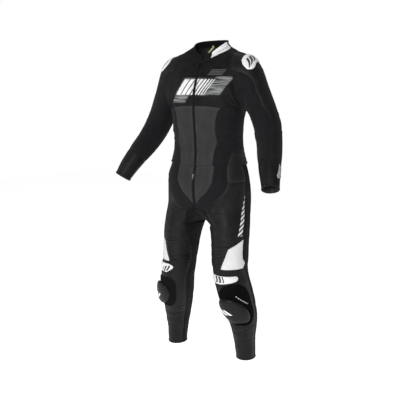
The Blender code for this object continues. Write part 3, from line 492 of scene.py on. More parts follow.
CHEST_HIDE = leather("chest_hide", *BLACK_DYE, 0.50, shine=0.09, print_of=chest_print)
THIGH_HIDE = leather("thigh_hide", *BLACK_DYE, 0.44, print_of=thigh_print)
CUFF_HIDE = leather("cuff_hide", *BLACK_DYE, 0.46, shine=0.13, print_of=cuff_print)
COLLAR_WHITE = leather("collar_white_hide", *COLLAR_DYE, 0.42, worn=0.0, thread=0.50, print_of=collar_print)

# %% Painted plates
def painted_plate(name, marks):
    """Gloss white paint with dark bars let into it, scuffed along its edge."""
    finish = Finish(name)
    flat, across, along, side, _ = flat_places(finish)
    cloudy = speckle(finish, flat, 60.0, 3.0)
    fine = speckle(finish, flat, 900.0, 2.0)
    scuffed = side.held(0.0030, 0.0006) * fine.held(0.50, 0.62)
    inlay = joined([bar(across, along, *mark, soft=0.0006) for mark in marks])
    colour = finish.mix(cloudy, shade(0.62, 0.625, 0.63), shade(0.70, 0.70, 0.705))
    colour = finish.mix(scuffed * 0.5, colour, shade(0.42))
    colour = finish.mix(inlay, colour, shade(0.020, 0.021, 0.023))
    finish.set(
        Base_Color=colour, Roughness=0.28 + scuffed * 0.35 + inlay * 0.15, IOR=1.5,
        Coat_Weight=0.15, Coat_Roughness=0.12, Normal=finish.bump(fine * 0.15 - inlay * 2.0, 0.00025))
    return finish.material


CAP_PAINT = painted_plate("cap_paint", [
    ((-0.0090, 0.036), (0.0062, 0.017), 0.5), ((0.0110, 0.036), (0.0080, 0.017), 0.5),
    ((0.0310, 0.036), (0.0062, 0.017), 0.5)])
SHIELD_BARS = ((-0.0140, 0.0050), (0.0010, 0.0050), (0.0140, 0.0028))     # shift and half width
SHIELD_PAINT = {
    side: painted_plate("shield_paint_" + side, [
        ((middle + shift, height), (half, 0.0165), 0.5) for shift, half in SHIELD_BARS])
    for side, middle, height in (("left", -0.007, 0.018), ("right", -0.025, 0.031))}


# %% Hook and loop, and the sliders' plastic
def loop_cloth(name, dark, light):
    """The loop half of hook and loop: a short dense pile, combed in patches."""
    finish = Finish(name)
    flat, across, along, side, end = flat_places(finish)
    pile = speckle(finish, flat, 1400.0, 2.0, 0.5)
    combed = speckle(finish, flat, 45.0, 3.0)
    sewn = stitches(across, along, side, end, (0.0035,))
    line = bar(across, along, (0.020, 0.080), (0.0026, 0.030), 0.77)
    line = line * ((along / 0.0115).fraction() - 0.5).size().held(0.40, 0.34)
    colour = finish.mix(pile.held(0.35, 0.7), shade(dark), shade(light))
    colour = finish.mix(combed.held(0.4, 0.7) * 0.35, colour, shade(0.006))
    colour = finish.mix(line * pile.held(0.3, 0.5), colour, shade(0.50))
    colour = finish.mix(sewn, colour, shade(0.020))
    finish.set(
        Base_Color=colour, Roughness=0.95, Specular_IOR_Level=0.05,
        Normal=finish.bump(pile + sewn * 0.8, 0.0006))
    return finish.material


def moulded_plastic(name, middle):
    """Slider plastic: satin from the mould, ground rough and pale where it has touched the road.
    Its two pale bars stand either side of `middle`."""
    finish = Finish(name)
    flat, across, along, side, _ = flat_places(finish)
    fine = speckle(finish, flat, 700.0, 3.0)
    drag = finish.node("CombineXYZ", {}, {"X": across * 40.0, "Y": along * 900.0, "Z": 0.0})["Vector"]
    scratches = speckle(finish, drag, 1.0, 3.0, 0.5)
    rubbed = speckle(finish, flat, 28.0, 4.0).held(0.52, 0.72) * side.held(0.010, 0.022)
    mark = joined([
        bar(across, along, (middle + shift, 0.061), (0.0052, 0.0125), 0.6) for shift in (-0.0078, 0.0078)])
    colour = finish.mix(rubbed * scratches.held(0.45, 0.6), shade(0.0065, 0.0066, 0.0070), shade(0.020))
    colour = finish.mix(mark * fine.held(0.2, 0.4), colour, shade(0.78))
    finish.set(
        Base_Color=colour, Roughness=0.42 + rubbed * 0.3 - mark * 0.05, IOR=1.5, Specular_IOR_Level=0.15,
        Normal=finish.bump(fine * 0.25 + scratches * rubbed * 0.8, 0.00025))
    return finish.material


PAD_CLOTH = {
    "left": loop_cloth("loop_cloth_left", 0.0012, 0.0034),
    "right": loop_cloth("loop_cloth_right", 0.0038, 0.0080),
}
PUCK_PLASTIC = {
    "left": moulded_plastic("slider_plastic_left", -0.032),
    "right": moulded_plastic("slider_plastic_right", 0.0),
}

# %% Metal, zip teeth and the label
def cast_metal(name, dark, light, roughness):
    finish = Finish(name)
    place = finish.node("TexCoord", {}, {})["Object"]
    fine = finish.node("TexNoise", {}, {"Vector": place, "Scale": 1600.0, "Detail": 3.0})["Fac"]
    wide = finish.node("TexNoise", {}, {"Vector": place, "Scale": 260.0, "Detail": 2.0})["Fac"]
    finish.set(
        Base_Color=finish.mix(wide.held(0.35, 0.65), dark, light), Metallic=1.0,
        Roughness=roughness + fine * 0.15, Normal=finish.bump(fine, 0.00004))
    return finish.material


ZIP_METAL = cast_metal("zip_metal_cast", shade(0.16, 0.165, 0.175), shade(0.28, 0.285, 0.30), 0.34)
DARK_METAL = cast_metal("dark_zip_teeth", shade(0.014, 0.014, 0.015), shade(0.026, 0.026, 0.028), 0.42)


def label_weave(name):
    """A woven label: pale, with a green-yellow border on its two long sides."""
    finish = Finish(name)
    _, across, along, side, _ = flat_places(finish)
    turns = 2 * np.pi / 0.0005                     # one thread over and one under in half a millimetre
    weave = (across * turns).wave() * (along * turns).wave() * 0.5 + 0.5
    border = side.held(0.0032, 0.0026)
    colour = finish.mix(weave * 0.4, shade(0.62, 0.64, 0.58), shade(0.78, 0.79, 0.75))
    colour = finish.mix(border, colour, shade(0.30, 0.34, 0.04))
    finish.set(Base_Color=colour, Roughness=0.8, Normal=finish.bump(weave, 0.0002))
    return finish.material


LABEL_WEAVE = label_weave("label_weave")
COLLAR_LINING = stretch_weave("collar_lining", shade(0.0022), shade(0.0045), rib=0.0012)
print("materials:", len(bpy.data.materials))

# %% [markdown]
# ## The sizes of a worn suit
# A pattern cutter starts from the wearer's measures. Here they are sections of a torso, two arms and two
# legs for a rider of about 1.80 m, with the ease of leather over a back protector already in them.
# Heights are over the soles; every piece is lowered to the studio's frame when it is made.

# %% Sizes shared by all pieces
WALL = 0.0022                # leather or stretch cloth on its backing
SEAM_GAP = 0.0003            # clear space between neighbouring pieces
PLATE_LIFT = 0.0009          # a hard plate's clear space over the cloth below it
JACKET_EASE = WALL + 0.0012  # the jacket lies this far outside the trousers
MELT = 0.028                 # how widely two limbs melt into each other, as at the armpit

HEM_HEIGHT = 1.035           # jacket hem, at the side
CHEST_HEIGHT = 1.236         # seam under the arms, at the side
CHEST_RISE = 0.31            # that seam climbs this much for each metre forward
SIDE_ANGLE = 93.0            # side line, round the trunk from the front middle
ZIP_SHARE = 0.030            # half width of the front zip, as a share of a front row


# %% Torso sections
# Half width, and how far front and back reach from the side line, at each height.
TORSO = {
    "height": (
        0.80, 0.86, 0.92, 0.98, 1.035, 1.10, 1.16, 1.215, 1.27,
        1.32, 1.38, 1.42, 1.45, 1.475, 1.50, 1.53, 1.62),
    "half_width": (
        .152, .173, .184, .183, .167, .151, .148, .152, .162,
        .173, .180, .178, .172, .160, .112, .067, .064),
    "front": (
        -.092, -.120, -.132, -.130, -.115, -.111, -.116, -.122, -.126,
        -.124, -.106, -.087, -.070, -.056, -.048, -.045, -.045),
    "back": (
        .116, .126, .125, .115, .108, .100, .098, .104, .116,
        .127, .132, .126, .114, .100, .088, .080, .078),
}
TORSO_SQUARENESS = 2.25      # 2 is an ellipse
CROTCH_FLOOR = 0.828         # the torso's own lower end


# %% Arm and leg
# Of the left side: centre line, and half sizes across the body and fore and aft.
ARM = {
    "x":        (.142, .174, .204, .239, .268, .292, .315, .338, .357, .364),
    "y":        (.014, .011, .013, .017, .009, -.022, -.067, -.111, -.144, -.157),
    "z":        (1.410, 1.396, 1.335, 1.262, 1.195, 1.130, 1.075, 1.020, .966, .943),
    "across":   (.060, .061, .056, .052, .051, .048, .044, .038, .031, .030),
    "fore_aft": (.070, .071, .065, .060, .056, .051, .045, .038, .032, .031),
}
LEG = {
    "x":        (.088, .101, .112, .120, .126, .131, .142, .154, .164, .170, .174, .179, .181),
    "y":        (.005, -.005, -.017, -.027, -.035, -.039, -.035, -.016, .002, .011, .015, .018, .019),
    "z":        (.900, .830, .780, .720, .640, .576, .520, .450, .390, .345, .270, .190, .140),
    "across":   (.085, .086, .083, .078, .074, .070, .069, .068, .063, .057, .046, .041, .040),
    "fore_aft": (.104, .103, .098, .093, .088, .086, .086, .084, .077, .069, .055, .047, .046),
}


# %% [markdown]
# ## Folds that belong to the form
# A few folds are so large that they change the outline: the push of cloth at the elbow, the armpit, the
# waist and the groin. They are part of the form itself, the same on both sides.

# %% Largest folds
# On both sides of the body: a ridge's two ends, its half width and its height.
JACKET_FOLDS = {
    "x0": (.225, .222, .170, .150, .100, .262),
    "y0": (-.030, -.010, -.052, -.040, -.125, .045),
    "z0": (1.225, 1.150, 1.285, 1.175, 1.150, 1.180),
    "x1": (.285, .300, .140, .085, .050, .300),
    "y1": (-.042, -.062, -.085, -.112, -.128, .030),
    "z1": (1.212, 1.165, 1.350, 1.205, 1.165, 1.205),
    "half_width": (.016, .015, .020, .022, .022, .015),
    "height": (.0045, .0040, .0040, .0030, .0020, .0040),
}
TROUSER_FOLDS = {
    "x0": (.045, .050, .090, .130, .150, .160, .100),
    "y0": (-.100, -.070, .120, -.110, -.055, -.050, -.110),
    "z0": (.862, .800, .800, .700, .330, .300, .765),
    "x1": (.120, .125, .040, .085, .200, .205, .150),
    "y1": (-.110, -.110, .110, -.095, -.045, -.035, -.105),
    "z1": (.905, .835, .830, .715, .338, .292, .785),
    "half_width": (.020, .020, .024, .016, .014, .014, .020),
    "height": (.0040, .0040, .0040, .0020, .0030, .0030, .0020),
}


# %% Collar and sleeve
# Collar: heights of its seam and of its top edge at angles round the neck, and that edge's reach.
NECK_ANGLE = (0, 20, 45, 70, 90, 135, 180)
NECKLINE = (1.460, 1.464, 1.482, 1.502, 1.514, 1.522, 1.524)
COLLAR_RIM = (1.479, 1.486, 1.507, 1.527, 1.536, 1.547, 1.550)
COLLAR_HALF_WIDTH = 0.073
COLLAR_FRONT = -0.043
COLLAR_BACK = 0.071
COLLAR_HOLLOW = 0.004        # the collar's side is this much hollow between seam and edge
NECK_CENTRE_Y = 0.018

# Sleeve: its upper sections turn about a line in the air below the armpit, the others follow the arm.
ARMPIT = (0.180, 1.235)      # x, z of that line
SHOULDER_TOP = (0.124, 1.502)  # x, z where the armhole seam crosses the shoulder
ARMHOLE_CENTRE = (0.150, 0.012, 1.375)
SLEEVE_FAN = 0.46            # share of the sleeve's length whose sections turn about that line
SLEEVE_START = 0.27          # share of the arm's line where that turn ends
SLEEVE_END = 0.898           # and where the cuff ends
SQUARING = 6.0               # how fast the sections below it come square to the arm
UNDERARM = 0.10              # share of the upper rows that climbs from the chest seam to the armhole
NOTCH = 0.625                # share of the upper front rows below the front of the neckline
NAPE = 0.70                  # share of the upper back rows below the back of the neckline


# %% Sections of the leg
# From the waist down: the height their middles are cast from, how far those
# casts dip under the crotch (degrees), and the height the sections reach at the hip.
SHARED_ROWS = (
    .757, .727, .700, .672, .645, .625, .605, .588, .570, .545, .520, .495,
    .470, .445, .420, .395, .370, .345, .315, .282, .248, .214, .181)
LEG_ROWS = {
    "middle": (1.050, 1.022, .994, .966, .942, .93, .93, .93, .93, .93, .93, .785) + SHARED_ROWS,
    "dip":    (0, 0, 0, 0, 0, 6, 25.5, 45, 62, 77, 90, 90) + (90,) * len(SHARED_ROWS),
    "hip":    (1.050, 1.022, .994, .966, .944, .922, .897, .872, .848, .828, .810, .788) + SHARED_ROWS,
}
CROTCH_ROW = 10
HIP_X = 0.170                # where a section reaches its hip height
LEVEL_SPREAD = 0.01          # a section whose two middles are closer than this stays level


# %% [markdown]
# ## Where the pieces meet
# Every seam is a line on one of the tubes below: an angle round the body at each height. Neighbouring
# pieces read the same table, so they meet along one line however finely each of them is made.

# %% Seams of jacket and sleeves
# Seams of the jacket's trunk: angles on rows of rising height.
TRUNK_ROWS = (HEM_HEIGHT, 1.060, 1.085, 1.098, 1.111, 1.135, 1.160, 1.185, 1.210, CHEST_HEIGHT)
BACK_SEAM = 124.0            # side panel's rear seam
CHEST_BREAK = 50.0           # where the front panel's side seam meets the chest seam
FRONT_SEAM = {
    "height": (1.035, 1.085, 1.110, 1.127, 1.152, 1.185, 1.221, 1.236),
    "angle":  (36, 40, 45, 45, 42, 42, 45, CHEST_BREAK),
}
FLANK_SEAM = {"height": TRUNK_ROWS, "angle": (60, 64, 70, 88, 108, 122.5) + (BACK_SEAM,) * 4}
FLANK_ROWS = 6               # the leather piece above the hem reaches up to this row

# Seams of the sleeve: angles at shares of its length.
CUFF_START = 0.835
CUFF_SEAM = -135.0           # the angle at which the cuff is closed
OUTER_FRONT = {
    "share": (0, .09, .19, .29, .40, .46, .52, .56, .62, .82, 1),
    "angle": (60, 62, 55, 48, 48, 56, 60, 42, 34, 30, 30),
}
OUTER_BACK = {"share": (0, .46, 1), "angle": (-105, -100, -90)}


# %% Seams of the trousers
# Angles on rows of the leg. The leg's tube starts each row at the inner side.
HIP_SEAM, FLY_ROW, WHITE_TOP, THIGH_END, KNEE_TOP, CALF_TOP, SHIN_TOP, LEG_HEM = 3, 6, 13, 14, 18, 26, 29, 34
FLY_TAPE = 2.2               # half width of the fly's tape
FLY_POINT = 0.4              # the same at its pointed lower end
FLY_EDGE = {"row": (0, 3, 4, 5, 6), "angle": (88, 88, 83, 76, 56.9)}
GROIN_EDGE = {
    "row":   (0, 3, 4, 5, 6, 7, 10, 11, 12, 13, 14, 15, 16, 17, 18),
    "angle": (117, 119, 116, 110, 91, 79, 66, 61, 55, 44, 34, 26, 20, 14, 10),
}
SIDE_EDGE = {
    "row":   (0, 10, 12, 13, 14, 15, 16, 17, 18),
    "angle": (170, 165, 164, 163.2, 162, 161, 164, 177, 167),
}
BACK_EDGE = {"row": (10, 11, 12, 13, 18), "angle": (358, 330, 310, 302, 298)}
KNEE_INNER = {"row": (18, 19, 21, 22, 34), "angle": (10, 15, 25, 28, 28)}
KNEE_OUTER = {"row": (18, 19, 20, 21, 34), "angle": (168, 178, 188, 195, 195)}
# The white wedge starts as a point on the side seam, which is cut off a little way down.
WHITE_EDGE = {
    "row":   (WHITE_TOP, 14, 14.3, 15, 16, 17, KNEE_TOP),
    "angle": (163.2, 124, 113, 108, 101, 95, 90),
}
WHITE_TIP = WHITE_TOP + 0.05
RIBS = {"count": 8, "height": 0.0022}   # accordion above the knee


# %% [markdown]
# ## Armour
# Shoulder caps and knee shields are hard plates riveted through the hide. The sliders that a rider drags
# over the road are thick plastic pucks, held on the knees by hook and loop.

# %% Hard plates
# Rows, the angles of both edges on each, thickness in the middle and at the edge.
# `squareness` says how full the dome is, `lift` how far it lies over the panel below.
CAP = {
    "rows":  (.110, .130, .150, .175, .198, .215, .232, .250, .268),
    "back":  (-10, -18, -22, -25, -25, -20, -4, 12, 20),
    "front": (32, 38, 41, 42, 42, 41, 38, 34, 27),
    "thick": 0.0050, "edge": 0.0022, "squareness": 2.5, "lift": PLATE_LIFT,
}
SHIELD = {"thick": 0.0070, "edge": 0.0024, "squareness": 2.5}
SHIELD_LEFT = {
    "rows":  (19.6, 19.85, 20.2, 20.5, 20.7, 20.85, 21.0, 21.15),
    "back":  (56, 48, 45, 45, 47, 49, 52, 57),
    "front": (134, 139, 140, 136, 126, 112, 96, 82),
    "lift":  0.0012,
}
SHIELD_RIGHT = {
    "rows":  (18.7, 19.1, 19.6, 20.2, 20.7),
    "back":  (90, 80, 76, 83, 95),
    "front": (146, 155, 155, 146, 128),
    "lift":  PLATE_LIFT,
}
PAD = {"thick": 0.0042, "edge": 0.0030, "squareness": 2.5, "lift": 0.0012}
PAD_LEFT = {
    "rows":  (21.1, 21.5, 22.1, 22.9, 23.9, 24.9, 25.9, 26.9, 27.9, 28.4, 28.8),
    "back":  (108, 92, 80, 69, 63, 62, 62, 64, 71, 80, 92),
    "front": (136, 154, 165, 171, 173, 173, 174, 171, 160, 150, 136),
    "lift":  0.0015,
}
PAD_RIGHT = {
    "rows":  (21.7, 22.2, 22.9, 23.7, 24.6, 25.5, 26.4, 27.1, 27.6),
    "back":  (80, 70, 65, 63, 63, 63, 65, 71, 82),
    "front": (134, 148, 154, 155, 154, 151, 146, 136, 120),
}
PUCK = {"thick": 0.0170, "edge": 0.0090, "squareness": 3.5, "lift": 0.0062}
PUCK_LEFT = {
    "rows":  (23.5, 24.1, 24.8, 25.6, 26.4, 27.1, 27.6, 28.0),
    "back":  (78, 70, 67, 67, 70, 76, 83, 92),
    "front": (104, 121, 132, 141, 144, 143, 138, 128),
    "lift":  0.0070,
}
PUCK_RIGHT = {
    "rows":  (22.9, 23.3, 23.9, 24.6, 25.3, 26.0, 26.5, 26.9),
    "back":  (98, 88, 82, 80, 82, 85, 92, 102),
    "front": (132, 142, 147, 148, 145, 140, 132, 120),
}

# Neck label, from a share of the collar down to a share of the upper back, at angles round the neck.
LABEL = {"top": 0.26, "foot": 0.25, "angles": (199.0, 208.0), "clear": 0.0008, "thick": 0.0008, "sag": 0.0006}

# Zip slider: an open channel over the tape. Heights are over the cloth, lengths along the zip.
SLIDER = {
    "half_width": 0.0040, "channel": 0.0030, "under": 0.0006, "floor": 0.0036, "wall_top": 0.0066,
    "above": 0.0030, "below": 0.0090,
}
# Its pull tab turns about a crosswise line between the channel's walls and hangs down the zip.
TAB = {
    "thick": 0.0013, "under": 0.0046,
    "along": (0.0005, -0.0040, -0.0100, -0.0176, -0.0220),
    "half_width": (0.0022, 0.0025, 0.0018, 0.0026, 0.0018),
    "hole": (0.0011, 0.0030), "hole_along": -0.0168,
}
FRONT_SLIDER_ROW = 0.57      # share of the upper front's rows
FLY_SLIDER_ROW = 2.0         # row of the leg


# %% Fineness of the working
LINE_STEPS = 48              # straight steps that stand for a limb's curved centre line
SEAM_STEPS = 241             # points along a seam's own curve
GRADIENT_STEP = 2e-4
CAST_START, CAST_PACE, CAST_STEPS = 0.01, 0.95, 60
SETTLE_STEPS = 8


# %% [markdown]
# ## The form as one smooth surface
# Each limb is a field: below zero inside, about the distance to it outside. Fields melt into each other
# where the limbs meet, which gives an armpit or a groin its soft hollow without any modelling.

# %% Curves through tables
def smooth_lookup(at, knots, values):
    """The smooth curve through (knots, values), read at `at`."""
    knots = np.asarray(knots, float)
    values = np.asarray(values, float)
    slopes = np.gradient(values, knots)
    at = np.clip(at, knots[0], knots[-1])
    k = np.clip(np.searchsorted(knots, at, side="right") - 1, 0, len(knots) - 2)
    width = knots[k + 1] - knots[k]
    t = (at - knots[k]) / width
    return (
        values[k] * (1 + 2 * t) * (1 - t) ** 2
        + values[k + 1] * t * t * (3 - 2 * t)
        + width * (slopes[k] * t * (1 - t) ** 2 - slopes[k + 1] * t * t * (1 - t))
    )


def melted(a, b, width):
    """The lower of two fields, rounded where they are within `width` of each other."""
    mix = np.clip(0.5 + 0.5 * (b - a) / width, 0, 1)
    return b * (1 - mix) + a * mix - width * mix * (1 - mix)


def limb_line(table):
    """A limb's centre line and half sizes as rows of points close together."""
    knots = np.linspace(0, 1, len(table["x"]))
    steps = np.linspace(0, 1, LINE_STEPS + 1)
    return np.stack([smooth_lookup(steps, knots, column) for column in table.values()], axis=1)


ARM_LINE = limb_line(ARM)
LEG_LINE = limb_line(LEG)


# %% Fields of the torso and the limbs
def torso_section(height):
    """Half width, front and back reach at a height."""
    return [smooth_lookup(height, TORSO["height"], TORSO[c]) for c in ("half_width", "front", "back")]


def torso_field(points):
    """Below 0 inside the torso, about the distance to it outside."""
    half, front, back = torso_section(points[:, 2])
    middle = (front + back) / 2
    depth = (back - front) / 2
    n = TORSO_SQUARENESS
    reach = (np.abs(points[:, 0] / half) ** n + np.abs((points[:, 1] - middle) / depth) ** n) ** (1 / n)
    return (reach - 1) * np.minimum(half, depth)


def limb_field(points, line, side):
    """The same for a limb: distance from its centre line less its half size. side -1 mirrors it."""
    points = points * (side, 1, 1)
    start = line[:-1, :3]
    along = line[1:, :3] - start
    offset = points[:, None, :] - start[None]
    share = np.clip((offset * along).sum(2) / (along * along).sum(1), 0, 1)
    gap = offset - share[:, :, None] * along
    nearest = (gap * gap).sum(2).argmin(1)
    rows = np.arange(len(points))
    gap = gap[rows, nearest]
    share = share[rows, nearest][:, None]
    across, fore_aft = (line[nearest, 3:] * (1 - share) + line[nearest + 1, 3:] * share).T
    upright = (across + fore_aft) / 2
    reach = np.sqrt((gap[:, 0] / across) ** 2 + (gap[:, 1] / fore_aft) ** 2 + (gap[:, 2] / upright) ** 2)
    return (reach - 1) * np.minimum(across, fore_aft)


def fold_rise(points, folds):
    """How far the folds lift the cloth."""
    near = np.abs(points[:, 0])[:, None] * (1, 0, 0) + points * (0, 1, 1)
    rise = np.zeros(len(points))
    for x0, y0, z0, x1, y1, z1, half_width, height in zip(*folds.values()):
        start, along = np.array([x0, y0, z0]), np.array([x1 - x0, y1 - y0, z1 - z0])
        share = (near - start) @ along / (along @ along)
        away = np.linalg.norm(near - start - np.clip(share, 0, 1)[:, None] * along, axis=1)
        rise = rise + height * np.exp(-((away / half_width) ** 2))
    return rise


def upper_field(points):
    """Torso and arms, as far out as the jacket lies."""
    arms = np.minimum(limb_field(points, ARM_LINE, 1), limb_field(points, ARM_LINE, -1))
    return melted(torso_field(points), arms, MELT) - JACKET_EASE - fold_rise(points, JACKET_FOLDS)


def lower_field(points):
    """Hips and legs."""
    hips = -melted(-torso_field(points), points[:, 2] - CROTCH_FLOOR, MELT)
    legs = melted(limb_field(points, LEG_LINE, 1), limb_field(points, LEG_LINE, -1), MELT)
    return melted(hips, legs, MELT) - fold_rise(points, TROUSER_FOLDS)


# %% Finding the surface
def slope(field, points):
    """The field's gradient."""
    steps = GRADIENT_STEP * np.eye(3)
    return np.stack([(field(points + d) - field(points - d)) / (2 * GRADIENT_STEP) for d in steps], axis=1)


def unit(vectors):
    return vectors / np.linalg.norm(vectors, axis=-1, keepdims=True)


def settle(field, points):
    """Moves points that are near the surface onto it."""
    for _ in range(SETTLE_STEPS):
        pull = slope(field, points)
        points = points - field(points)[:, None] * pull / (pull * pull).sum(1)[:, None]
    return points


def cast(field, starts, directions):
    """The first surface point along each ray that starts inside."""
    reach = np.full(len(starts), CAST_START)
    for _ in range(CAST_STEPS):
        reach = reach - CAST_PACE * field(starts + reach[:, None] * directions)
    return starts + reach[:, None] * directions


# %% [markdown]
# ## Tubes over the form
# A tube names places on the form: an angle round it and a height or row along it. A ray from the middle of
# each section finds the surface there. Cut pieces are stretches of these tubes.

# %% Trunk
def trunk(angle, height):
    """Jacket body: degrees from the front middle, height at the side line."""
    turn = np.radians(angle)
    _, front, back = torso_section(height)
    climb = CHEST_RISE * (height - HEM_HEIGHT) / (CHEST_HEIGHT - HEM_HEIGHT)
    middle = (front + back) / 2
    starts = np.stack([np.zeros_like(height), middle, height - climb * middle], axis=-1)
    ways = np.stack([np.sin(turn), -np.cos(turn), climb * np.cos(turn)], axis=-1)
    return cast(upper_field, starts, unit(ways))


# %% Neck and collar
def around_neck(angle):
    """The level direction out from the neck's middle."""
    turn = np.radians(angle)
    return np.stack([np.sin(turn), -np.cos(turn), np.zeros_like(turn)], axis=-1)


def neckline(angle):
    """The collar's seam: degrees round the neck."""
    height = smooth_lookup(180 - np.abs(180 - angle), NECK_ANGLE, NECKLINE)
    starts = np.stack([0 * height, np.full_like(height, NECK_CENTRE_Y), height], axis=-1)
    return cast(upper_field, starts, around_neck(angle))


def collar(angle, share):
    """Collar: degrees round the neck, share of the way from its seam to its top edge."""
    turn = np.radians(angle)
    base = neckline(angle)
    reach_y = np.where(np.cos(turn) > 0, NECK_CENTRE_Y - COLLAR_FRONT, COLLAR_BACK - NECK_CENTRE_Y)
    rim = np.stack([
        COLLAR_HALF_WIDTH * np.sin(turn),
        NECK_CENTRE_Y - reach_y * np.cos(turn),
        smooth_lookup(180 - np.abs(180 - angle), NECK_ANGLE, COLLAR_RIM),
    ], axis=-1)
    hollow = COLLAR_HOLLOW * np.sin(np.pi * share)[:, None]
    return base + (rim - base) * share[:, None] - around_neck(angle) * hollow


def arm_point(share):
    """A point of the arm's centre line."""
    knots = np.linspace(0, 1, len(ARM["x"]))
    return np.stack([smooth_lookup(share, knots, ARM[c]) for c in ("x", "y", "z")], axis=-1)


# %% Sleeve
def sleeve(angle, share):
    """Sleeve: degrees round the arm (0 outer, 90 front, 180 inner), share of its length from the armhole."""
    turn = np.radians(angle)
    hinge = np.array([ARMPIT[0], 0, ARMPIT[1]])
    first = unit(np.array([SHOULDER_TOP[0] - ARMPIT[0], 0, SHOULDER_TOP[1] - ARMPIT[1]]))
    step = 1e-3
    foot = arm_point(np.array([SLEEVE_START]))[0]
    last = unit((foot - hinge) * (1, 0, 1))
    swing = np.arccos(first @ last)
    fan = np.clip(share / SLEEVE_FAN, 0, 1)
    beyond = np.clip((share - SLEEVE_FAN) / (1 - SLEEVE_FAN), 0, 1)
    lean = swing * fan
    side_way = unit(last - (last @ first) * first)
    outward = np.cos(lean)[:, None] * first + np.sin(lean)[:, None] * side_way
    along = SLEEVE_START + (SLEEVE_END - SLEEVE_START) * beyond
    centre = arm_point(along)
    heading = unit(arm_point(along + step) - arm_point(along - step))
    square = unit(last - (heading @ last)[:, None] * heading)
    bend = np.clip(beyond * SQUARING, 0, 1)[:, None]
    outward = unit(outward * (1 - bend) + square * bend)
    fore = np.array([0, -1.0, 0])
    across = unit(np.cross(heading, square))
    across = across * np.sign(across @ fore)[:, None]
    ahead = unit(fore * (1 - bend) + across * bend)
    blend = (fan * fan * (3 - 2 * fan))[:, None]
    inside = np.array(ARMHOLE_CENTRE)
    reach_in = np.linalg.norm((inside - hinge) * (1, 0, 1))
    reach_out = np.linalg.norm((foot - hinge) * (1, 0, 1))
    reach = reach_in * (1 - blend) + reach_out * blend
    fore_aft = inside[1] * (1 - blend) + foot[1] * blend
    fan_centre = hinge + outward * reach - fore * fore_aft
    starts = np.where((beyond > 0)[:, None], centre, fan_centre)
    ways = np.cos(turn)[:, None] * outward + np.sin(turn)[:, None] * ahead
    return cast(upper_field, starts, unit(ways))


# %% Upper front and upper back
def travelled(points, axis=0):
    """Length from the start along a line of points, or along each line of a grid."""
    steps = np.linalg.norm(np.diff(points, axis=axis), axis=-1)
    start = np.zeros_like(np.take(steps, [0], axis=axis))
    return np.cumsum(np.concatenate([start, steps], axis=axis), axis=axis)


def at_length(length, lengths, vectors):
    """A line's vectors, read where it has run for `length`."""
    return np.stack([np.interp(length, lengths, vectors[:, axis]) for axis in range(3)], axis=-1)


def through(points, share):
    """The point at `share` of a polyline's length."""
    lengths = travelled(points)
    return at_length(share * lengths[-1], lengths, points)


def seam_between(low, top):
    """A line over the form from one of its points to another."""
    return settle(upper_field, low + (top - low) * np.linspace(0, 1, SEAM_STEPS)[:, None])


STEM = seam_between(
    trunk(np.array([SIDE_ANGLE]), np.array([CHEST_HEIGHT]))[0],
    sleeve(np.array([180.0]), np.array([0.0]))[0],
)


def patch_edges(front):
    """The four edges of the upper front or upper back, as functions of a share: chest seam, middle and
    neckline, armhole, shoulder seam."""
    way = 1.0 if front else -1.0
    middle_angle = 0.0 if front else 180.0
    turn_at = NOTCH if front else NAPE
    low = trunk(np.array([middle_angle]), np.array([CHEST_HEIGHT]))[0]
    spine = seam_between(low, neckline(np.array([middle_angle]))[0])
    spine[:, 0] = 0.0
    seam = seam_between(neckline(np.array([90.0]))[0], sleeve(np.array([0.0]), np.array([0.0]))[0])

    def chest(share):
        return trunk(middle_angle + (SIDE_ANGLE - middle_angle) * share, np.full_like(share, CHEST_HEIGHT))

    def middle(share):
        below = through(spine, np.clip(share / turn_at, 0, 1))
        round_neck = np.clip((share - turn_at) / (1 - turn_at), 0, 1)
        above = neckline(middle_angle + (90.0 - middle_angle) * round_neck)
        return np.where((share <= turn_at)[:, None], below, above)

    def armhole(share):
        climb = through(STEM, np.clip(share / UNDERARM, 0, 1))
        round_arm = np.clip((share - UNDERARM) / (1 - UNDERARM), 0, 1)
        loop = sleeve(180 - way * 180 * round_arm, np.zeros_like(share))
        return np.where((share <= UNDERARM)[:, None], climb, loop)

    def shoulder(share):
        return through(seam, share)

    return chest, middle, armhole, shoulder


PATCH = {True: patch_edges(True), False: patch_edges(False)}


def upper(front, across, share):
    """Upper front or back: share across from the middle to the armhole, share up from the chest seam."""
    chest, middle, armhole, shoulder = PATCH[front]
    u, v = across[:, None], share[:, None]
    one = np.ones_like(across)
    corners = (
        (1 - u) * (1 - v) * chest(0 * one) + u * (1 - v) * chest(one)
        + (1 - u) * v * shoulder(0 * one) + u * v * shoulder(one)
    )
    along = (1 - v) * chest(across) + v * shoulder(across)
    return settle(upper_field, along + (1 - u) * middle(share) + u * armhole(share) - corners)


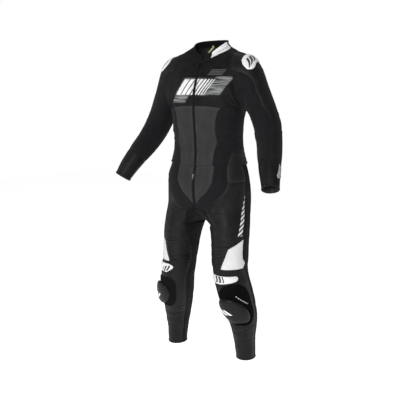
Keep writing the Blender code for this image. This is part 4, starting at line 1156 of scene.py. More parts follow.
# %% Leg
def leg_plane(row):
    """A leg section's centre, its slopes along x and y, and the angles of its front and back middle."""
    rows = np.arange(len(LEG_ROWS["middle"]))
    open_row = row <= CROTCH_ROW
    below = smooth_lookup(row, rows, LEG_ROWS["middle"])
    middle = np.where(open_row, np.interp(row, rows, LEG_ROWS["middle"]), below)
    hip = smooth_lookup(row, rows, LEG_ROWS["hip"])
    turn = np.radians(np.interp(row, rows, LEG_ROWS["dip"]))
    starts = np.stack([0 * row, 0 * row, middle], axis=-1)
    front = cast(lower_field, starts, np.stack([0 * row, -np.cos(turn), -np.sin(turn)], axis=-1))
    back = cast(lower_field, starts, np.stack([0 * row, np.cos(turn), -np.sin(turn)], axis=-1))
    spread = np.maximum(back[:, 1] - front[:, 1], 1e-6)
    slope_y = np.where(open_row & (spread > LEVEL_SPREAD), (back[:, 2] - front[:, 2]) / spread, 0)
    zero = np.where(open_row, front[:, 2] - slope_y * front[:, 1], middle)
    slope_x = (hip - zero) / HIP_X
    mean = np.clip((zero + hip) / 2, LEG["z"][-1], LEG["z"][0])
    centre_x = np.interp(-mean, -LEG_LINE[:, 2], LEG_LINE[:, 0])
    centre_y = np.interp(-mean, -LEG_LINE[:, 2], LEG_LINE[:, 1])
    centre = np.stack([centre_x, centre_y, zero + slope_x * centre_x + slope_y * centre_y], axis=-1)
    front_angle = np.degrees(np.arctan2(centre_y - front[:, 1], centre_x))
    back_angle = 360 - np.degrees(np.arctan2(back[:, 1] - centre_y, centre_x))
    front_angle = np.where(open_row, front_angle, 0)
    back_angle = np.where(open_row, back_angle, 360)
    return centre, slope_x, slope_y, front_angle, back_angle


def leg(angle, row):
    """Left trouser half: degrees round the leg (0 inner, 90 front, 180 outer), row of LEG_ROWS."""
    turn = np.radians(angle)
    centre, slope_x, slope_y, _, _ = leg_plane(row)
    flat = np.stack([-np.cos(turn), -np.sin(turn), 0 * turn], axis=-1)
    flat[:, 2] = slope_x * flat[:, 0] + slope_y * flat[:, 1]
    return cast(lower_field, centre, unit(flat))


# %% [markdown]
# ## Reading a tube smoothly
# Finding the surface by rays is slow, so each tube is cast once on a coarse net. Between the net's
# knots a cubic curve gives points and normals, fine enough for the smallest crease.

# %% Net over a tube
class Net:
    """A tube's points and normals at regular places, read smoothly in between."""

    def __init__(self, tube, field, places, levels):
        self.places, self.levels = places, levels
        place, level = np.meshgrid(places, levels)
        points = tube(place.ravel(), level.ravel()).reshape(*place.shape, 3)
        if field is None:
            normals = np.cross(np.gradient(points, axis=1), np.gradient(points, axis=0))
        else:
            normals = slope(field, points.reshape(-1, 3)).reshape(points.shape)
        table = np.concatenate([points, unit(normals)], axis=2)
        table = np.concatenate([2 * table[:1] - table[1:2], table, 2 * table[-1:] - table[-2:-1]])
        before, after = 2 * table[:, :1] - table[:, 1:2], 2 * table[:, -1:] - table[:, -2:-1]
        self.table = np.concatenate([before, table, after], axis=1)

    @staticmethod
    def shares(t):
        """How much each of the four knots around a place counts."""
        return (
            ((2 - t) * t - 1) * t / 2, (t * t * (3 * t - 5) + 2) / 2,
            ((4 - 3 * t) * t + 1) * t / 2, (t - 1) * t * t / 2)

    def read(self, place, level):
        u = (place - self.places[0]) / (self.places[1] - self.places[0])
        v = (level - self.levels[0]) / (self.levels[1] - self.levels[0])
        i = np.clip(np.floor(u).astype(int), 0, len(self.places) - 2)
        j = np.clip(np.floor(v).astype(int), 0, len(self.levels) - 2)
        found = 0
        for row, share in enumerate(self.shares(v - j)):
            for column, part in enumerate(self.shares(u - i)):
                found = found + self.table[j + row, i + column] * (share * part)[..., None]
        return found[..., :3], unit(found[..., 3:])


class Patch:
    """The upper front or back, whose four edges don't lie on a regular net."""

    def __init__(self, front):
        self.front = front

    def read(self, across, share):
        points = upper(self.front, across.ravel(), share.ravel())
        normals = unit(slope(upper_field, points))
        return points.reshape(*across.shape, 3), normals.reshape(*across.shape, 3)


TRUNK_STEP = (CHEST_HEIGHT - HEM_HEIGHT) / 20
TRUNK_NET = Net(trunk, upper_field, np.arange(-10.0, 371, 5), HEM_HEIGHT + TRUNK_STEP * np.arange(-1, 22))
SLEEVE_NET = Net(sleeve, upper_field, np.arange(-140.0, 281, 5), np.linspace(0, 1, 61))
LEG_NET = Net(leg, lower_field, np.arange(-70.0, 396, 5), np.arange(0, 34.5, 0.5))
COLLAR_NET = Net(collar, None, np.arange(-10.0, 371, 5), np.linspace(0, 1, 7))
FRONT_PATCH, BACK_PATCH = Patch(True), Patch(False)
print("nets:", [net.table.shape[:2] for net in (TRUNK_NET, SLEEVE_NET, LEG_NET, COLLAR_NET)])

# %% [markdown]
# ## Laying out a cut piece
# The rows and columns of a piece stand about five millimetres apart, and closer beside its seams, where
# the cloth dips into the seam within two or three millimetres.

# %% Rows and columns of a piece
PACE = 0.0050
TRIES = 120                  # places on a line whose length is measured
BESIDE_SEAM = np.array((0.0, 0.0011, 0.0026, 0.0048))


def spread(length, pace=PACE):
    """Shares of a length: close together at both ends, then at an even pace."""
    rim = BESIDE_SEAM * min(1.0, length / (5 * BESIDE_SEAM[-1]))
    count = max(2, int(np.ceil((length - 2 * rim[-1]) / pace)))
    inner = np.linspace(rim[-1], length - rim[-1], count + 1)
    return np.concatenate([rim[:-1], inner, (length - rim[:-1])[::-1]]) / length


def seam(table):
    """A seam's angle as a function of the level, straight between the table's rows."""
    levels, places = table.values()
    return lambda level: np.interp(level, levels, places)


def lay_out(net, first, last, left, right, pace=PACE, corner=None):
    """A piece's points and normals between two seams and two levels; one row runs through its `corner`."""
    tries = np.linspace(first, last, TRIES)
    middle = travelled(net.read((left(tries) + right(tries)) / 2, tries)[0])
    levels = np.interp(spread(middle[-1], pace) * middle[-1], middle, tries)
    if corner is not None:
        levels[np.abs(levels - corner).argmin()] = corner
    checks = np.linspace(first, last, 7)
    share = np.linspace(0, 1, 40)
    place = left(checks)[:, None] * (1 - share) + right(checks)[:, None] * share
    widths = travelled(net.read(place, np.broadcast_to(checks[:, None], place.shape))[0], axis=1)[:, -1]
    share = spread(widths.max(), pace)
    place = left(levels)[:, None] * (1 - share) + right(levels)[:, None] * share
    return net.read(place, np.broadcast_to(levels[:, None], place.shape))


def constant(value):
    return lambda level: np.full_like(np.asarray(level, float), value)


# %% [markdown]
# ## Creases
# Leather doesn't fall in even waves. It breaks into ridges where a joint has bent it, each with a
# shallow trough on both sides, strongest in the middle and gone at the ends. No two are alike, so each
# is placed on its tube: three places it runs through, how wide it is and how high.

# %% Table of creases
CREASE_STEPS = 28
TROUGH = {"depth": 0.42, "away": 2.1, "width": 1.15}   # beside a ridge, as shares of its height and width
CREASE_REACH = 4.2           # nothing is left of a crease this many half widths away
CREASES = []


def crease(net, sides, start, middle, end, half_width, height):
    """A ridge, or a trough if its height is below 0, through three (place, level) points."""
    t = np.linspace(0, 1, CREASE_STEPS)[:, None]
    path = (
        np.array(start) * (1 - t) * (1 - 2 * t) + np.array(middle) * 4 * t * (1 - t)
        + np.array(end) * t * (2 * t - 1))
    points, normals = net.read(path[:, 0], path[:, 1])
    for side in sides:
        CREASES.append((points * (side, 1, 1), normals * (side, 1, 1), half_width, height))


LEFT, RIGHT, BOTH = (1,), (-1,), (1, -1)

# %% [markdown]
# ## Creases of the sleeves
# A sleeve creases most in the crook of the elbow, then round the armpit, where the arm hangs down from a
# pattern cut for reaching forward.

# %% Sleeve creases
for row in (
    (BOTH, (50, .585), (95, .600), (140, .590), .0060, .0030),
    (LEFT, (60, .625), (100, .632), (150, .648), .0050, .0024),
    (RIGHT, (70, .617), (110, .633), (155, .640), .0055, .0027),
    (BOTH, (75, .545), (112, .556), (150, .540), .0070, .0022),
    (LEFT, (30, .668), (70, .677), (120, .700), .0050, .0018),
    (RIGHT, (45, .660), (85, .672), (135, .668), .0048, .0020),
    (BOTH, (-32, .598), (2, .612), (40, .640), .0045, .0022),
    (BOTH, (-60, .560), (-35, .565), (-5, .545), .0060, .0018),
    (RIGHT, (-50, .650), (-20, .655), (15, .690), .0050, .0018),
    (LEFT, (-75, .640), (-50, .652), (-22, .644), .0055, .0016),
    (BOTH, (95, .300), (110, .370), (138, .450), .0080, .0018),
    (LEFT, (20, .340), (32, .400), (28, .470), .0090, .0014),
    (RIGHT, (60, .360), (66, .430), (60, .500), .0090, .0016),
    (BOTH, (-70, .330), (-58, .400), (-66, .480), .0085, .0016),
    (BOTH, (88, .045), (112, .075), (140, .085), .0060, .0024),
    (BOTH, (100, .125), (128, .150), (160, .145), .0070, .0026),
    (BOTH, (200, .060), (232, .090), (262, .080), .0060, .0022),
    (LEFT, (205, .140), (235, .170), (258, .160), .0065, .0020),
    (RIGHT, (198, .150), (226, .168), (250, .185), .0060, .0022),
    (RIGHT, (118, .770), (124, .805), (127, .845), .0090, .0018),
    (LEFT, (60, .760), (85, .772), (118, .765), .0065, .0014),
    (BOTH, (30, .905), (60, .912), (95, .900), .0045, .0012),
    (BOTH, (-95, .925), (-60, .918), (-30, .930), .0045, .0012),
):
    crease(SLEEVE_NET, *row)

# %% [markdown]
# ## Creases of the jacket's body
# Standing pulls the hide from the armpits towards the chest, and the short jacket buckles at the waist.
# The back has the same folds, only longer, because one wide panel covers it.

# %% Body creases
for row in (
    (BOTH, (.93, .10), (.86, .22), (.84, .36), .0080, .0022),
    (LEFT, (.80, .06), (.74, .16), (.70, .30), .0080, .0014),
    (RIGHT, (.84, .05), (.78, .18), (.77, .28), .0085, .0016),
    (RIGHT, (.60, .50), (.46, .56), (.34, .64), .0120, .0030),
    (LEFT, (.66, .52), (.55, .60), (.42, .66), .0120, .0018),
    (BOTH, (.12, .86), (.30, .84), (.46, .88), .0070, .0014),
):
    crease(FRONT_PATCH, *row)
for row in (
    (BOTH, (44, 1.118), (68, 1.128), (96, 1.112), .0070, .0020),
    (LEFT, (52, 1.165), (75, 1.158), (104, 1.170), .0080, .0018),
    (RIGHT, (48, 1.150), (72, 1.158), (98, 1.148), .0075, .0020),
    (BOTH, (70, 1.075), (92, 1.082), (118, 1.072), .0065, .0018),
    (LEFT, (10, 1.095), (24, 1.101), (36, 1.092), .0070, .0010),
    (LEFT, (12, 1.170), (24, 1.182), (38, 1.178), .0090, .0010),
    (RIGHT, (8, 1.140), (22, 1.132), (36, 1.142), .0090, .0010),
    (RIGHT, (12, 1.078), (22, 1.084), (33, 1.076), .0070, .0010),
    (BOTH, (130, 1.095), (150, 1.104), (172, 1.098), .0080, .0022),
    (LEFT, (128, 1.185), (142, 1.196), (160, 1.190), .0090, .0014),
    (RIGHT, (130, 1.170), (146, 1.178), (168, 1.172), .0090, .0016),
    (BOTH, (140, 1.140), (158, 1.136), (176, 1.146), .0090, .0018),
):
    crease(TRUNK_NET, *row)
for row in (
    (BOTH, (.92, .10), (.84, .24), (.80, .40), .0090, .0022),
    (LEFT, (.66, .12), (.60, .24), (.62, .36), .0100, .0014),
    (RIGHT, (.72, .14), (.64, .26), (.63, .40), .0100, .0016),
):
    crease(BACK_PATCH, *row)

# %% [markdown]
# ## Creases of the trousers
# The trousers are cut for a rider who crouches. On standing legs the spare length gathers in the groin,
# under the seat, behind the knees and down the shins.

# %% Trouser creases
for row in (
    (BOTH, (58, 8.2), (80, 7.1), (112, 5.4), .0070, .0026),
    (LEFT, (62, 9.3), (86, 8.6), (118, 7.4), .0075, .0020),
    (RIGHT, (60, 9.0), (82, 8.2), (110, 7.4), .0070, .0022),
    (BOTH, (52, 6.9), (66, 6.5), (84, 5.4), .0050, .0018),
    (LEFT, (108, 8.5), (112, 10.6), (104, 12.8), .0140, .0014),
    (RIGHT, (88, 9.0), (96, 11.0), (92, 13.0), .0140, .0014),
    (BOTH, (70, 13.2), (98, 12.9), (126, 13.3), .0070, .0014),
    (BOTH, (38, 11.5), (54, 11.9), (74, 11.5), .0065, .0016),
    (BOTH, (0, 13.2), (18, 13.6), (38, 13.1), .0070, .0016),
    (BOTH, (215, 9.8), (250, 10.6), (292, 10.3), .0090, .0028),
    (BOTH, (228, 11.2), (262, 11.8), (300, 11.3), .0080, .0022),
    (BOTH, (240, 7.8), (278, 8.3), (315, 7.9), .0100, .0016),
    (BOTH, (218, 17.6), (255, 17.2), (290, 17.7), .0070, .0024),
    (BOTH, (222, 19.4), (262, 19.8), (312, 19.3), .0065, .0034),
    (LEFT, (232, 20.8), (270, 20.5), (318, 20.9), .0060, .0032),
    (RIGHT, (226, 20.6), (268, 21.0), (308, 20.6), .0060, .0034),
    (BOTH, (238, 22.2), (276, 21.9), (316, 22.4), .0060, .0026),
    (RIGHT, (82, 27.7), (62, 27.85), (30, 27.7), .0050, .0044),
    (RIGHT, (76, 29.2), (60, 29.35), (40, 29.2), .0050, .0036),
    (RIGHT, (84, 30.2), (61, 30.25), (33, 30.15), .0050, .0042),
    (LEFT, (88, 30.1), (111, 30.0), (140, 29.75), .0050, .0046),
    (LEFT, (62, 31.8), (101, 31.5), (145, 31.45), .0045, .0040),
    (RIGHT, (88, 31.7), (112, 31.4), (140, 31.6), .0050, .0036),
    (BOTH, (50, 32.6), (80, 32.3), (120, 32.7), .0055, .0014),
    (BOTH, (112, 16.3), (136, 16.5), (160, 16.35), .0035, .0018),
    (BOTH, (104, 16.95), (134, 17.1), (166, 17.0), .0035, .0022),
    (BOTH, (100, 17.5), (130, 17.6), (158, 17.5), .0032, .0018),
    (BOTH, (215, 27.0), (262, 26.6), (315, 27.2), .0080, .0020),
    (LEFT, (225, 29.4), (270, 29.8), (310, 29.3), .0070, .0022),
    (RIGHT, (218, 29.2), (258, 29.5), (305, 29.1), .0070, .0024),
    (BOTH, (210, 31.8), (260, 31.4), (330, 31.9), .0060, .0020),
):
    crease(LEG_NET, *row)
print("creases:", len(CREASES))

# %% Relief of the cloth
SEAM_DIP, SEAM_HALF = 0.0008, 0.0026     # how deep and how wide a seam sinks in
PUFF, PUFF_WIDTH = 0.0006, 0.012         # how much a panel swells away from its seams
# An edge turned under and sewn down: how far it stands up, how wide it is, its stitch's depth and width.
TURN_RISE, TURN_WIDTH, TURN_STITCH, STITCH_WIDTH = 0.0017, 0.0085, 0.0007, 0.0022
# Long low swells in the hide: direction, wavelength, height, phase.
SWELLS = (
    ((0.9, 0.2, 0.4), 0.118, 0.00034, 0.4), ((-0.3, 0.8, 0.6), 0.083, 0.00026, 2.1),
    ((0.2, -0.5, 0.9), 0.061, 0.00022, 4.0), ((0.7, 0.7, -0.2), 0.047, 0.00014, 1.2),
    ((-0.6, 0.1, 0.8), 0.029, 0.00008, 5.3), ((0.4, 0.9, 0.3), 0.021, 0.00005, 3.3),
)


def swell(points):
    rise = np.zeros(points.shape[:-1])
    for way, wavelength, height, phase in SWELLS:
        way = unit(np.array(way))
        rise += height * np.sin(points @ way * (2 * np.pi / wavelength) + phase)
    return rise


def crease_rise(points, normals):
    """How far all creases lift each point."""
    flat, facing = points.reshape(-1, 3), normals.reshape(-1, 3)
    rise = np.zeros(len(flat))
    for line, line_normals, half_width, height in CREASES:
        reach = CREASE_REACH * half_width
        near = np.flatnonzero(
            np.all((flat > line.min(0) - reach) & (flat < line.max(0) + reach), axis=1))
        if not len(near):
            continue
        gaps = np.linalg.norm(flat[near][:, None] - line[None], axis=2)
        nearest = gaps.argmin(1)
        away = gaps[np.arange(len(near)), nearest]
        share = nearest / (CREASE_STEPS - 1)
        width = half_width * (0.8 + 0.4 * np.sin(3.1 * share + height * 900))
        lively = 0.82 + 0.18 * np.sin(7.3 * share + half_width * 400)
        strength = height * np.sin(np.pi * share) ** 0.8 * lively
        same_side = np.clip(2.5 * (facing[near] * line_normals[nearest]).sum(1), 0, 1)
        in_trough = (away - TROUGH["away"] * width) / (TROUGH["width"] * width)
        ridge = np.exp(-((away / width) ** 2)) - TROUGH["depth"] * np.exp(-(in_trough ** 2))
        rise[near] += strength * ridge * same_side
    return rise.reshape(points.shape[:-1])


# %% [markdown]
# ## From a layout to a shell
# A shell is two millimetres of hide and lining: the outer side with its relief, the inner side the same
# distance below it, and a rim all round. Its maps are measured on the finished outer side.

# %% Cloth under armour
QUIET = []                   # points under armour, where the cloth is pressed flat
QUIET_REACH = 0.012          # the creases are whole again this far from there
QUIET_EDGE = 0.003           # the cloth stays flat this far beyond the armour


def stillness(points):
    """0 under the armour, 1 away from it."""
    cloud = np.concatenate(QUIET)
    flat = points.reshape(-1, 3)
    calm = np.ones(len(flat))
    beyond = QUIET_EDGE + QUIET_REACH
    close = np.flatnonzero(np.all((flat > cloud.min(0) - beyond) & (flat < cloud.max(0) + beyond), axis=1))
    for part in np.array_split(close, max(1, len(close) // 4000)):
        if len(part):
            gap = np.linalg.norm(flat[part][:, None] - cloud[None], axis=2).min(1)
            calm[part] = np.clip((gap - QUIET_EDGE) / QUIET_REACH, 0, 1)
    return calm.reshape(points.shape[:-1])


# %% Grids with two sides
def inset(points, normals, gap):
    """Draws the four edges in by `gap`, along the cloth and square to each seam."""
    moved = points.copy()
    for axis, first in ((0, 0), (0, -1), (1, 0), (1, -1)):
        edge = np.take(points, first, axis=axis)
        inside = np.take(points, 1 if first == 0 else -2, axis=axis)
        normal = np.take(normals, first, axis=axis)
        into = np.cross(normal, unit(np.gradient(edge, axis=0) + 1e-12))
        into = unit(into + 1e-12) * np.sign((into * (inside - edge)).sum(-1, keepdims=True))
        if axis == 0:
            moved[first] += into * gap
        else:
            moved[:, first] += into * gap
    return moved


def grid_quads(rows, columns):
    """The quads of a thickened grid: outer side, inner side, rims."""
    index = np.arange(rows * columns).reshape(rows, columns)
    a, b, c, d = index[:-1, :-1], index[:-1, 1:], index[1:, 1:], index[1:, :-1]
    outer = np.stack([a, b, c, d], axis=-1).reshape(-1, 4)
    inner = outer[:, ::-1] + rows * columns
    edge = np.concatenate([index[0, :-1], index[:-1, -1], index[-1, :0:-1], index[:0:-1, 0]])
    following = np.roll(edge, -1)
    rim = np.stack([following, edge, edge + rows * columns, following + rows * columns], axis=-1)
    return outer, inner, rim


def outward(faces, outer_faces, outer, normals):
    """The faces turned so that the outer ones look along the normals, and each outer face's span."""
    a, b, c, d = (outer.reshape(-1, 3)[outer_faces[:, k]] for k in range(4))
    spans = np.cross(c - a, d - b)
    if (spans * normals.reshape(-1, 3)[outer_faces[:, 0]]).sum() < 0:
        faces = faces[:, ::-1]
    return faces, spans


def both_sides(outer, inner):
    return np.concatenate([outer.reshape(-1, 3), inner.reshape(-1, 3)])


def maps_of(across, along, side, end):
    """The two maps of a thickened grid, alike on its outer and inner side."""
    cloth = np.stack([across, along], axis=-1).reshape(-1, 2)
    edge = np.stack([side, end], axis=-1).reshape(-1, 2)
    return {"cloth": np.concatenate([cloth, cloth]), "edge": np.concatenate([edge, edge])}


# %% Mesh from points and faces
def add_mesh(name, points, faces, finishes, finish_of=None, maps=None, sharp=40.0, pivot=(0, 0, 0)):
    """An object from points over the soles and faces of equal or unequal length."""
    mesh = bpy.data.meshes.new(name)
    sizes = np.array([len(face) for face in faces])
    corners = np.concatenate([np.asarray(face) for face in faces]).astype(np.int32)
    mesh.vertices.add(len(points))
    mesh.vertices.foreach_set("co", (np.asarray(points, float) - pivot).astype(np.float32).ravel())
    mesh.loops.add(len(corners))
    mesh.loops.foreach_set("vertex_index", corners)
    mesh.polygons.add(len(faces))
    mesh.polygons.foreach_set("loop_start", np.concatenate([[0], np.cumsum(sizes)[:-1]]).astype(np.int32))
    mesh.update(calc_edges=True)
    for finish in finishes:
        mesh.materials.append(finish)
    if finish_of is not None:
        mesh.polygons.foreach_set("material_index", np.asarray(finish_of, np.int32))
    for title, values in (maps or {}).items():
        layer = mesh.uv_layers.new(name=title)
        layer.data.foreach_set("uv", values[corners].astype(np.float32).ravel())
    mesh.validate()
    mesh.shade_smooth()
    mesh.set_sharp_from_angle(angle=np.radians(sharp))
    made = bpy.data.objects.new(name, mesh)
    made.location = np.asarray(pivot, float) - (0, 0, HELD_HEIGHT)
    bpy.context.scene.collection.objects.link(made)
    return made


# %% Shell of a cut piece
MADE = {}


def shell(
        name, finish, slot, points, normals, extra=0.0, still=None, wall=WALL, inside=None,
        turned=(False, False)):
    """One cut piece in place of the solid of the same name. `extra` is relief of its own, `still` calms
    the creases where it is below 1, and `turned` says whether its first and last rows are a turned edge,
    which stands up, and no seam, which sinks in."""
    points = inset(points, normals, SEAM_GAP / 2)
    along_row, along_column = travelled(points, axis=1), travelled(points, axis=0)
    side = np.minimum(along_row, along_row[:, -1:] - along_row)
    end = np.minimum(along_column, along_column[-1:] - along_column)
    beside = np.minimum(side, end)
    calm = stillness(points)
    free = (crease_rise(points, normals) + swell(points)) * calm
    if still is not None:
        free = free * still(points)
    from_first, from_last = along_column, along_column[-1:] - along_column
    sewn_ends = np.minimum(from_first + 1.0 * turned[0], from_last + 1.0 * turned[1])
    sunk = np.exp(-((np.minimum(side, sewn_ends) / SEAM_HALF) ** 2))
    relief = free + extra - SEAM_DIP * sunk + PUFF * (1 - np.exp(-((beside / PUFF_WIDTH) ** 2))) * calm
    for is_turned, away in zip(turned, (from_first, from_last)):
        if is_turned:
            stitch = np.exp(-(((away - TURN_WIDTH) / STITCH_WIDTH) ** 2))
            relief = relief + TURN_RISE * np.exp(-((away / TURN_WIDTH) ** 4)) - TURN_STITCH * stitch
    outer = points + normals * relief[..., None]
    inner = outer - normals * wall
    rows, columns = outer.shape[:2]
    parts = grid_quads(rows, columns)
    faces, spans = outward(np.concatenate(parts), parts[0], outer, normals)
    from_middle = along_row - along_row[:, columns // 2][:, None]
    finish_of = np.repeat([0, 1, 0], [len(part) for part in parts])
    made = add_mesh(
        name, both_sides(outer, inner), faces, [finish, inside or LINING], finish_of,
        maps_of(from_middle, along_column, side, end), sharp=55.0)
    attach(made, "suit")
    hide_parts(name)
    width, length = along_row[:, -1].max(), along_column[-1].max()
    area = 0.5 * np.linalg.norm(spans, axis=1).sum()
    MADE[name] = {"cut_mm": (round(1000 * width), round(1000 * length)), "area_cm2": round(1e4 * area)}
    return made


def pair(name, finish, slot, layout, **words):
    """The same cut piece on the left and, mirrored, on the right."""
    shell(name + "_left", finish, slot, *layout, **words)
    points, normals = ((grid * (-1, 1, 1))[:, ::-1] for grid in layout)
    flipped = {k: (v[:, ::-1] if isinstance(v, np.ndarray) else v) for k, v in words.items()}
    shell(name + "_right", finish, slot, points, normals, **flipped)


# %% [markdown]
# ## Under the armour
# Plates press the hide flat. Their outlines are read first, so that no crease runs under them and each
# plate sits on smooth leather.

# %% Outlines of the armour
PLATE_ROWS = PLATE_COLUMNS = 30


def plate_base(net, spec):
    """Points and normals of the cloth under a plate."""
    rows = np.linspace(spec["rows"][0], spec["rows"][-1], PLATE_ROWS)[:, None]
    back, front = (smooth_lookup(rows, spec["rows"], spec[edge]) for edge in ("back", "front"))
    share = np.linspace(0, 1, PLATE_COLUMNS)
    place = back * (1 - share) + front * share
    return net.read(place, np.broadcast_to(rows, place.shape))


KNEE_ARMOUR = (
    (1, "left", SHIELD_LEFT, PAD_LEFT, PUCK_LEFT),
    (-1, "right", SHIELD_RIGHT, PAD_RIGHT, PUCK_RIGHT),
)
for way, side, shield_spec, pad_spec, puck_spec in KNEE_ARMOUR:
    for spec in (shield_spec, pad_spec):
        QUIET.append(plate_base(LEG_NET, spec)[0][::3, ::3].reshape(-1, 3) * (way, 1, 1))
    QUIET.append(plate_base(SLEEVE_NET, CAP)[0][::3, ::3].reshape(-1, 3) * (way, 1, 1))
print("quiet points:", sum(len(cloud) for cloud in QUIET))

# %% [markdown]
# ## Jacket body
# Below the chest the jacket has a grey perforated panel on each side of the zip, for air, then ribbed
# stretch cloth under the arm, a small leather patch where the hip rubs, and one wide back panel.

# %% Front, side, flank and back panels
ZIP_ANGLE = ZIP_SHARE * SIDE_ANGLE
CALM_HEM = {"up_to": 1.042, "fade": 0.03, "least": 0.12}
front_seam, flank_seam = seam(FRONT_SEAM), seam(FLANK_SEAM)


def over_trousers(points):
    """How strong the creases are: the jacket keeps clear of the waistband under its hem."""
    return np.clip((points[..., 2] - CALM_HEM["up_to"]) / CALM_HEM["fade"], CALM_HEM["least"], 1)


pair("front_panel", GREY_HIDE, "grey_leather",
     lay_out(TRUNK_NET, HEM_HEIGHT, CHEST_HEIGHT, constant(ZIP_ANGLE), front_seam),
     still=over_trousers, turned=(True, False))
pair("side_panel", STRETCH, "stretch_cloth",
     lay_out(TRUNK_NET, HEM_HEIGHT, CHEST_HEIGHT, front_seam, flank_seam),
     still=over_trousers, turned=(True, False))
pair("flank_panel", LIT_HIP_HIDE, "black_leather",
     lay_out(TRUNK_NET, HEM_HEIGHT, TRUNK_ROWS[FLANK_ROWS - 1], flank_seam, constant(BACK_SEAM)),
     still=over_trousers, turned=(True, False))
shell("back_panel", BLACK_HIDE, "black_leather",
      *lay_out(TRUNK_NET, HEM_HEIGHT, CHEST_HEIGHT, constant(BACK_SEAM), constant(360 - BACK_SEAM)),
      still=over_trousers, turned=(True, False))
print({name: MADE[name] for name in ("front_panel_left", "side_panel_left", "back_panel")})

# %% [markdown]
# ## Chest and upper back
# The yoke is plain hide. Its front carries the print, its back covers the shoulder blades.

# %% Chest and upper back
def chest_middle(share):
    """The chest's edge beside the zip, which turns to the neckline above the notch."""
    return np.interp(share, (0, NOTCH, NOTCH + 0.075, 1), (ZIP_SHARE, ZIP_SHARE, 0, 0))


pair("chest", CHEST_HIDE, "black_leather", lay_out(FRONT_PATCH, 0.0, 1.0, chest_middle, constant(1.0)))
back_points, back_normals = lay_out(BACK_PATCH, 0.0, 1.0, constant(0.0), constant(1.0), corner=NAPE)
back_points[:, 0, 0] -= 0.45 * SEAM_GAP      # both halves all but meet at the middle seam
pair("upper_back", SOFT_HIDE, "black_leather", (back_points[:, ::-1], back_normals[:, ::-1]))

# %% [markdown]
# ## Sleeves
# The outer half is hide, where an arm meets the road. The inner half is ribbed stretch cloth, so that
# the arms can reach for the bars. The cuff is a leather ring.

# %% Sleeves and cuffs
outer_front, outer_back = seam(OUTER_FRONT), seam(OUTER_BACK)
pair("sleeve_outer", BLACK_HIDE, "black_leather",
     lay_out(SLEEVE_NET, 0.0, CUFF_START, outer_back, outer_front))
pair("sleeve_stretch", STRETCH, "stretch_cloth",
     lay_out(SLEEVE_NET, 0.0, CUFF_START, outer_front, lambda share: outer_back(share) + 360))
pair("cuff", CUFF_HIDE, "black_leather",
     lay_out(SLEEVE_NET, CUFF_START, 1.0, constant(CUFF_SEAM), constant(CUFF_SEAM + 360)),
     turned=(False, True))

# %% [markdown]
# ## Collar
# A low band of soft leather stands round the neck. A white piece shows the left half of it from the
# front, and a short black tab beside the opening holds the collar shut.

# %% Collar
COLLAR_FOOT = 0.032          # the collar starts this share above its seam
COLLAR_OPENING = 2.2         # the collar's two ends stop this far from the front middle
TAB_END = 28.0               # where the fastening tab meets the white piece
for name, finish, slot, start, end in (
    ("collar_tab", SOFT_HIDE, "black_leather", COLLAR_OPENING, TAB_END),
    ("collar_white", COLLAR_WHITE, "white_leather", TAB_END, 90.0),
    ("collar_black", SOFT_HIDE, "black_leather", 90.0, 360 - COLLAR_OPENING),
):
    points, normals = lay_out(COLLAR_NET, COLLAR_FOOT, 1.0, constant(start), constant(end), pace=0.004)
    shell(name, finish, slot, points, normals, inside=COLLAR_LINING, turned=(False, True))

# %% [markdown]
# ## Trousers
# The seat and the outer leg are hide in large cuts. Stretch cloth runs from the waist over the groin and
# down the inner leg in one S-shaped band, because a rider sits with the hips fully bent.

# %% Edges of the trouser pieces
FINE_ROWS = np.arange(0, CROTCH_ROW + 0.01, 0.25)
FRONT_MIDDLE, BACK_MIDDLE = leg_plane(FINE_ROWS)[3:]
WAIST_FADE = 0.04            # the creases are whole this far below the jacket's hem
side_edge, groin_edge, fly_edge = seam(SIDE_EDGE), seam(GROIN_EDGE), seam(FLY_EDGE)
knee_inner, knee_outer, white_edge = seam(KNEE_INNER), seam(KNEE_OUTER), seam(WHITE_EDGE)


def middle_line(row):
    """The front middle, on the plane between the two halves."""
    return np.interp(row, FINE_ROWS, FRONT_MIDDLE)


def tape_edge(row):
    return middle_line(row) + np.interp(row, (FLY_ROW, FLY_ROW + 1, FLY_ROW + 2), (FLY_TAPE, FLY_POINT, 0))


def groin_left(row):
    return np.where(row <= FLY_ROW, fly_edge(row), tape_edge(row))


def rear_edge(row):
    angles = np.interp(row, BACK_EDGE["row"], BACK_EDGE["angle"])
    return np.where(row <= CROTCH_ROW, np.interp(row, FINE_ROWS, BACK_MIDDLE), angles)


def thigh_outer(row):
    return np.where(row < WHITE_TOP, side_edge(row), white_edge(row))


def under_hem(points):
    """How strong the creases are: the waistband lies flat under the jacket."""
    return np.clip((HEM_HEIGHT - points[..., 2]) / WAIST_FADE, 0.0, 1)


# %% Hips, groin and thighs
def halved_at_middle(layout):
    """Keeps a left piece on its side of the middle plane."""
    layout[0][..., 0] = np.maximum(layout[0][..., 0], 0.0)
    return layout


pair("fly_panel", GREY_HIDE, "grey_leather",
     halved_at_middle(lay_out(LEG_NET, 0.0, FLY_ROW, tape_edge, fly_edge)), still=under_hem)
pair("groin_panel", STRETCH, "stretch_cloth",
     halved_at_middle(lay_out(LEG_NET, 0.0, CROTCH_ROW, groin_left, groin_edge)), still=under_hem)
pair("hip_panel", LIT_HIP_HIDE, "black_leather",
     lay_out(LEG_NET, 0.0, HIP_SEAM, groin_edge, side_edge), still=under_hem)
pair("thigh_front", THIGH_HIDE, "black_leather",
     lay_out(LEG_NET, HIP_SEAM, THIGH_END, groin_edge, thigh_outer), still=under_hem)
pair("seat", SOFT_HIDE, "black_leather",
     halved_at_middle(lay_out(LEG_NET, 0.0, KNEE_TOP, side_edge, rear_edge)), still=under_hem)
pair("inner_leg", SHADED_STRETCH, "stretch_cloth",
     halved_at_middle(lay_out(LEG_NET, CROTCH_ROW, KNEE_TOP, lambda row: rear_edge(row) - 360, groin_edge)))
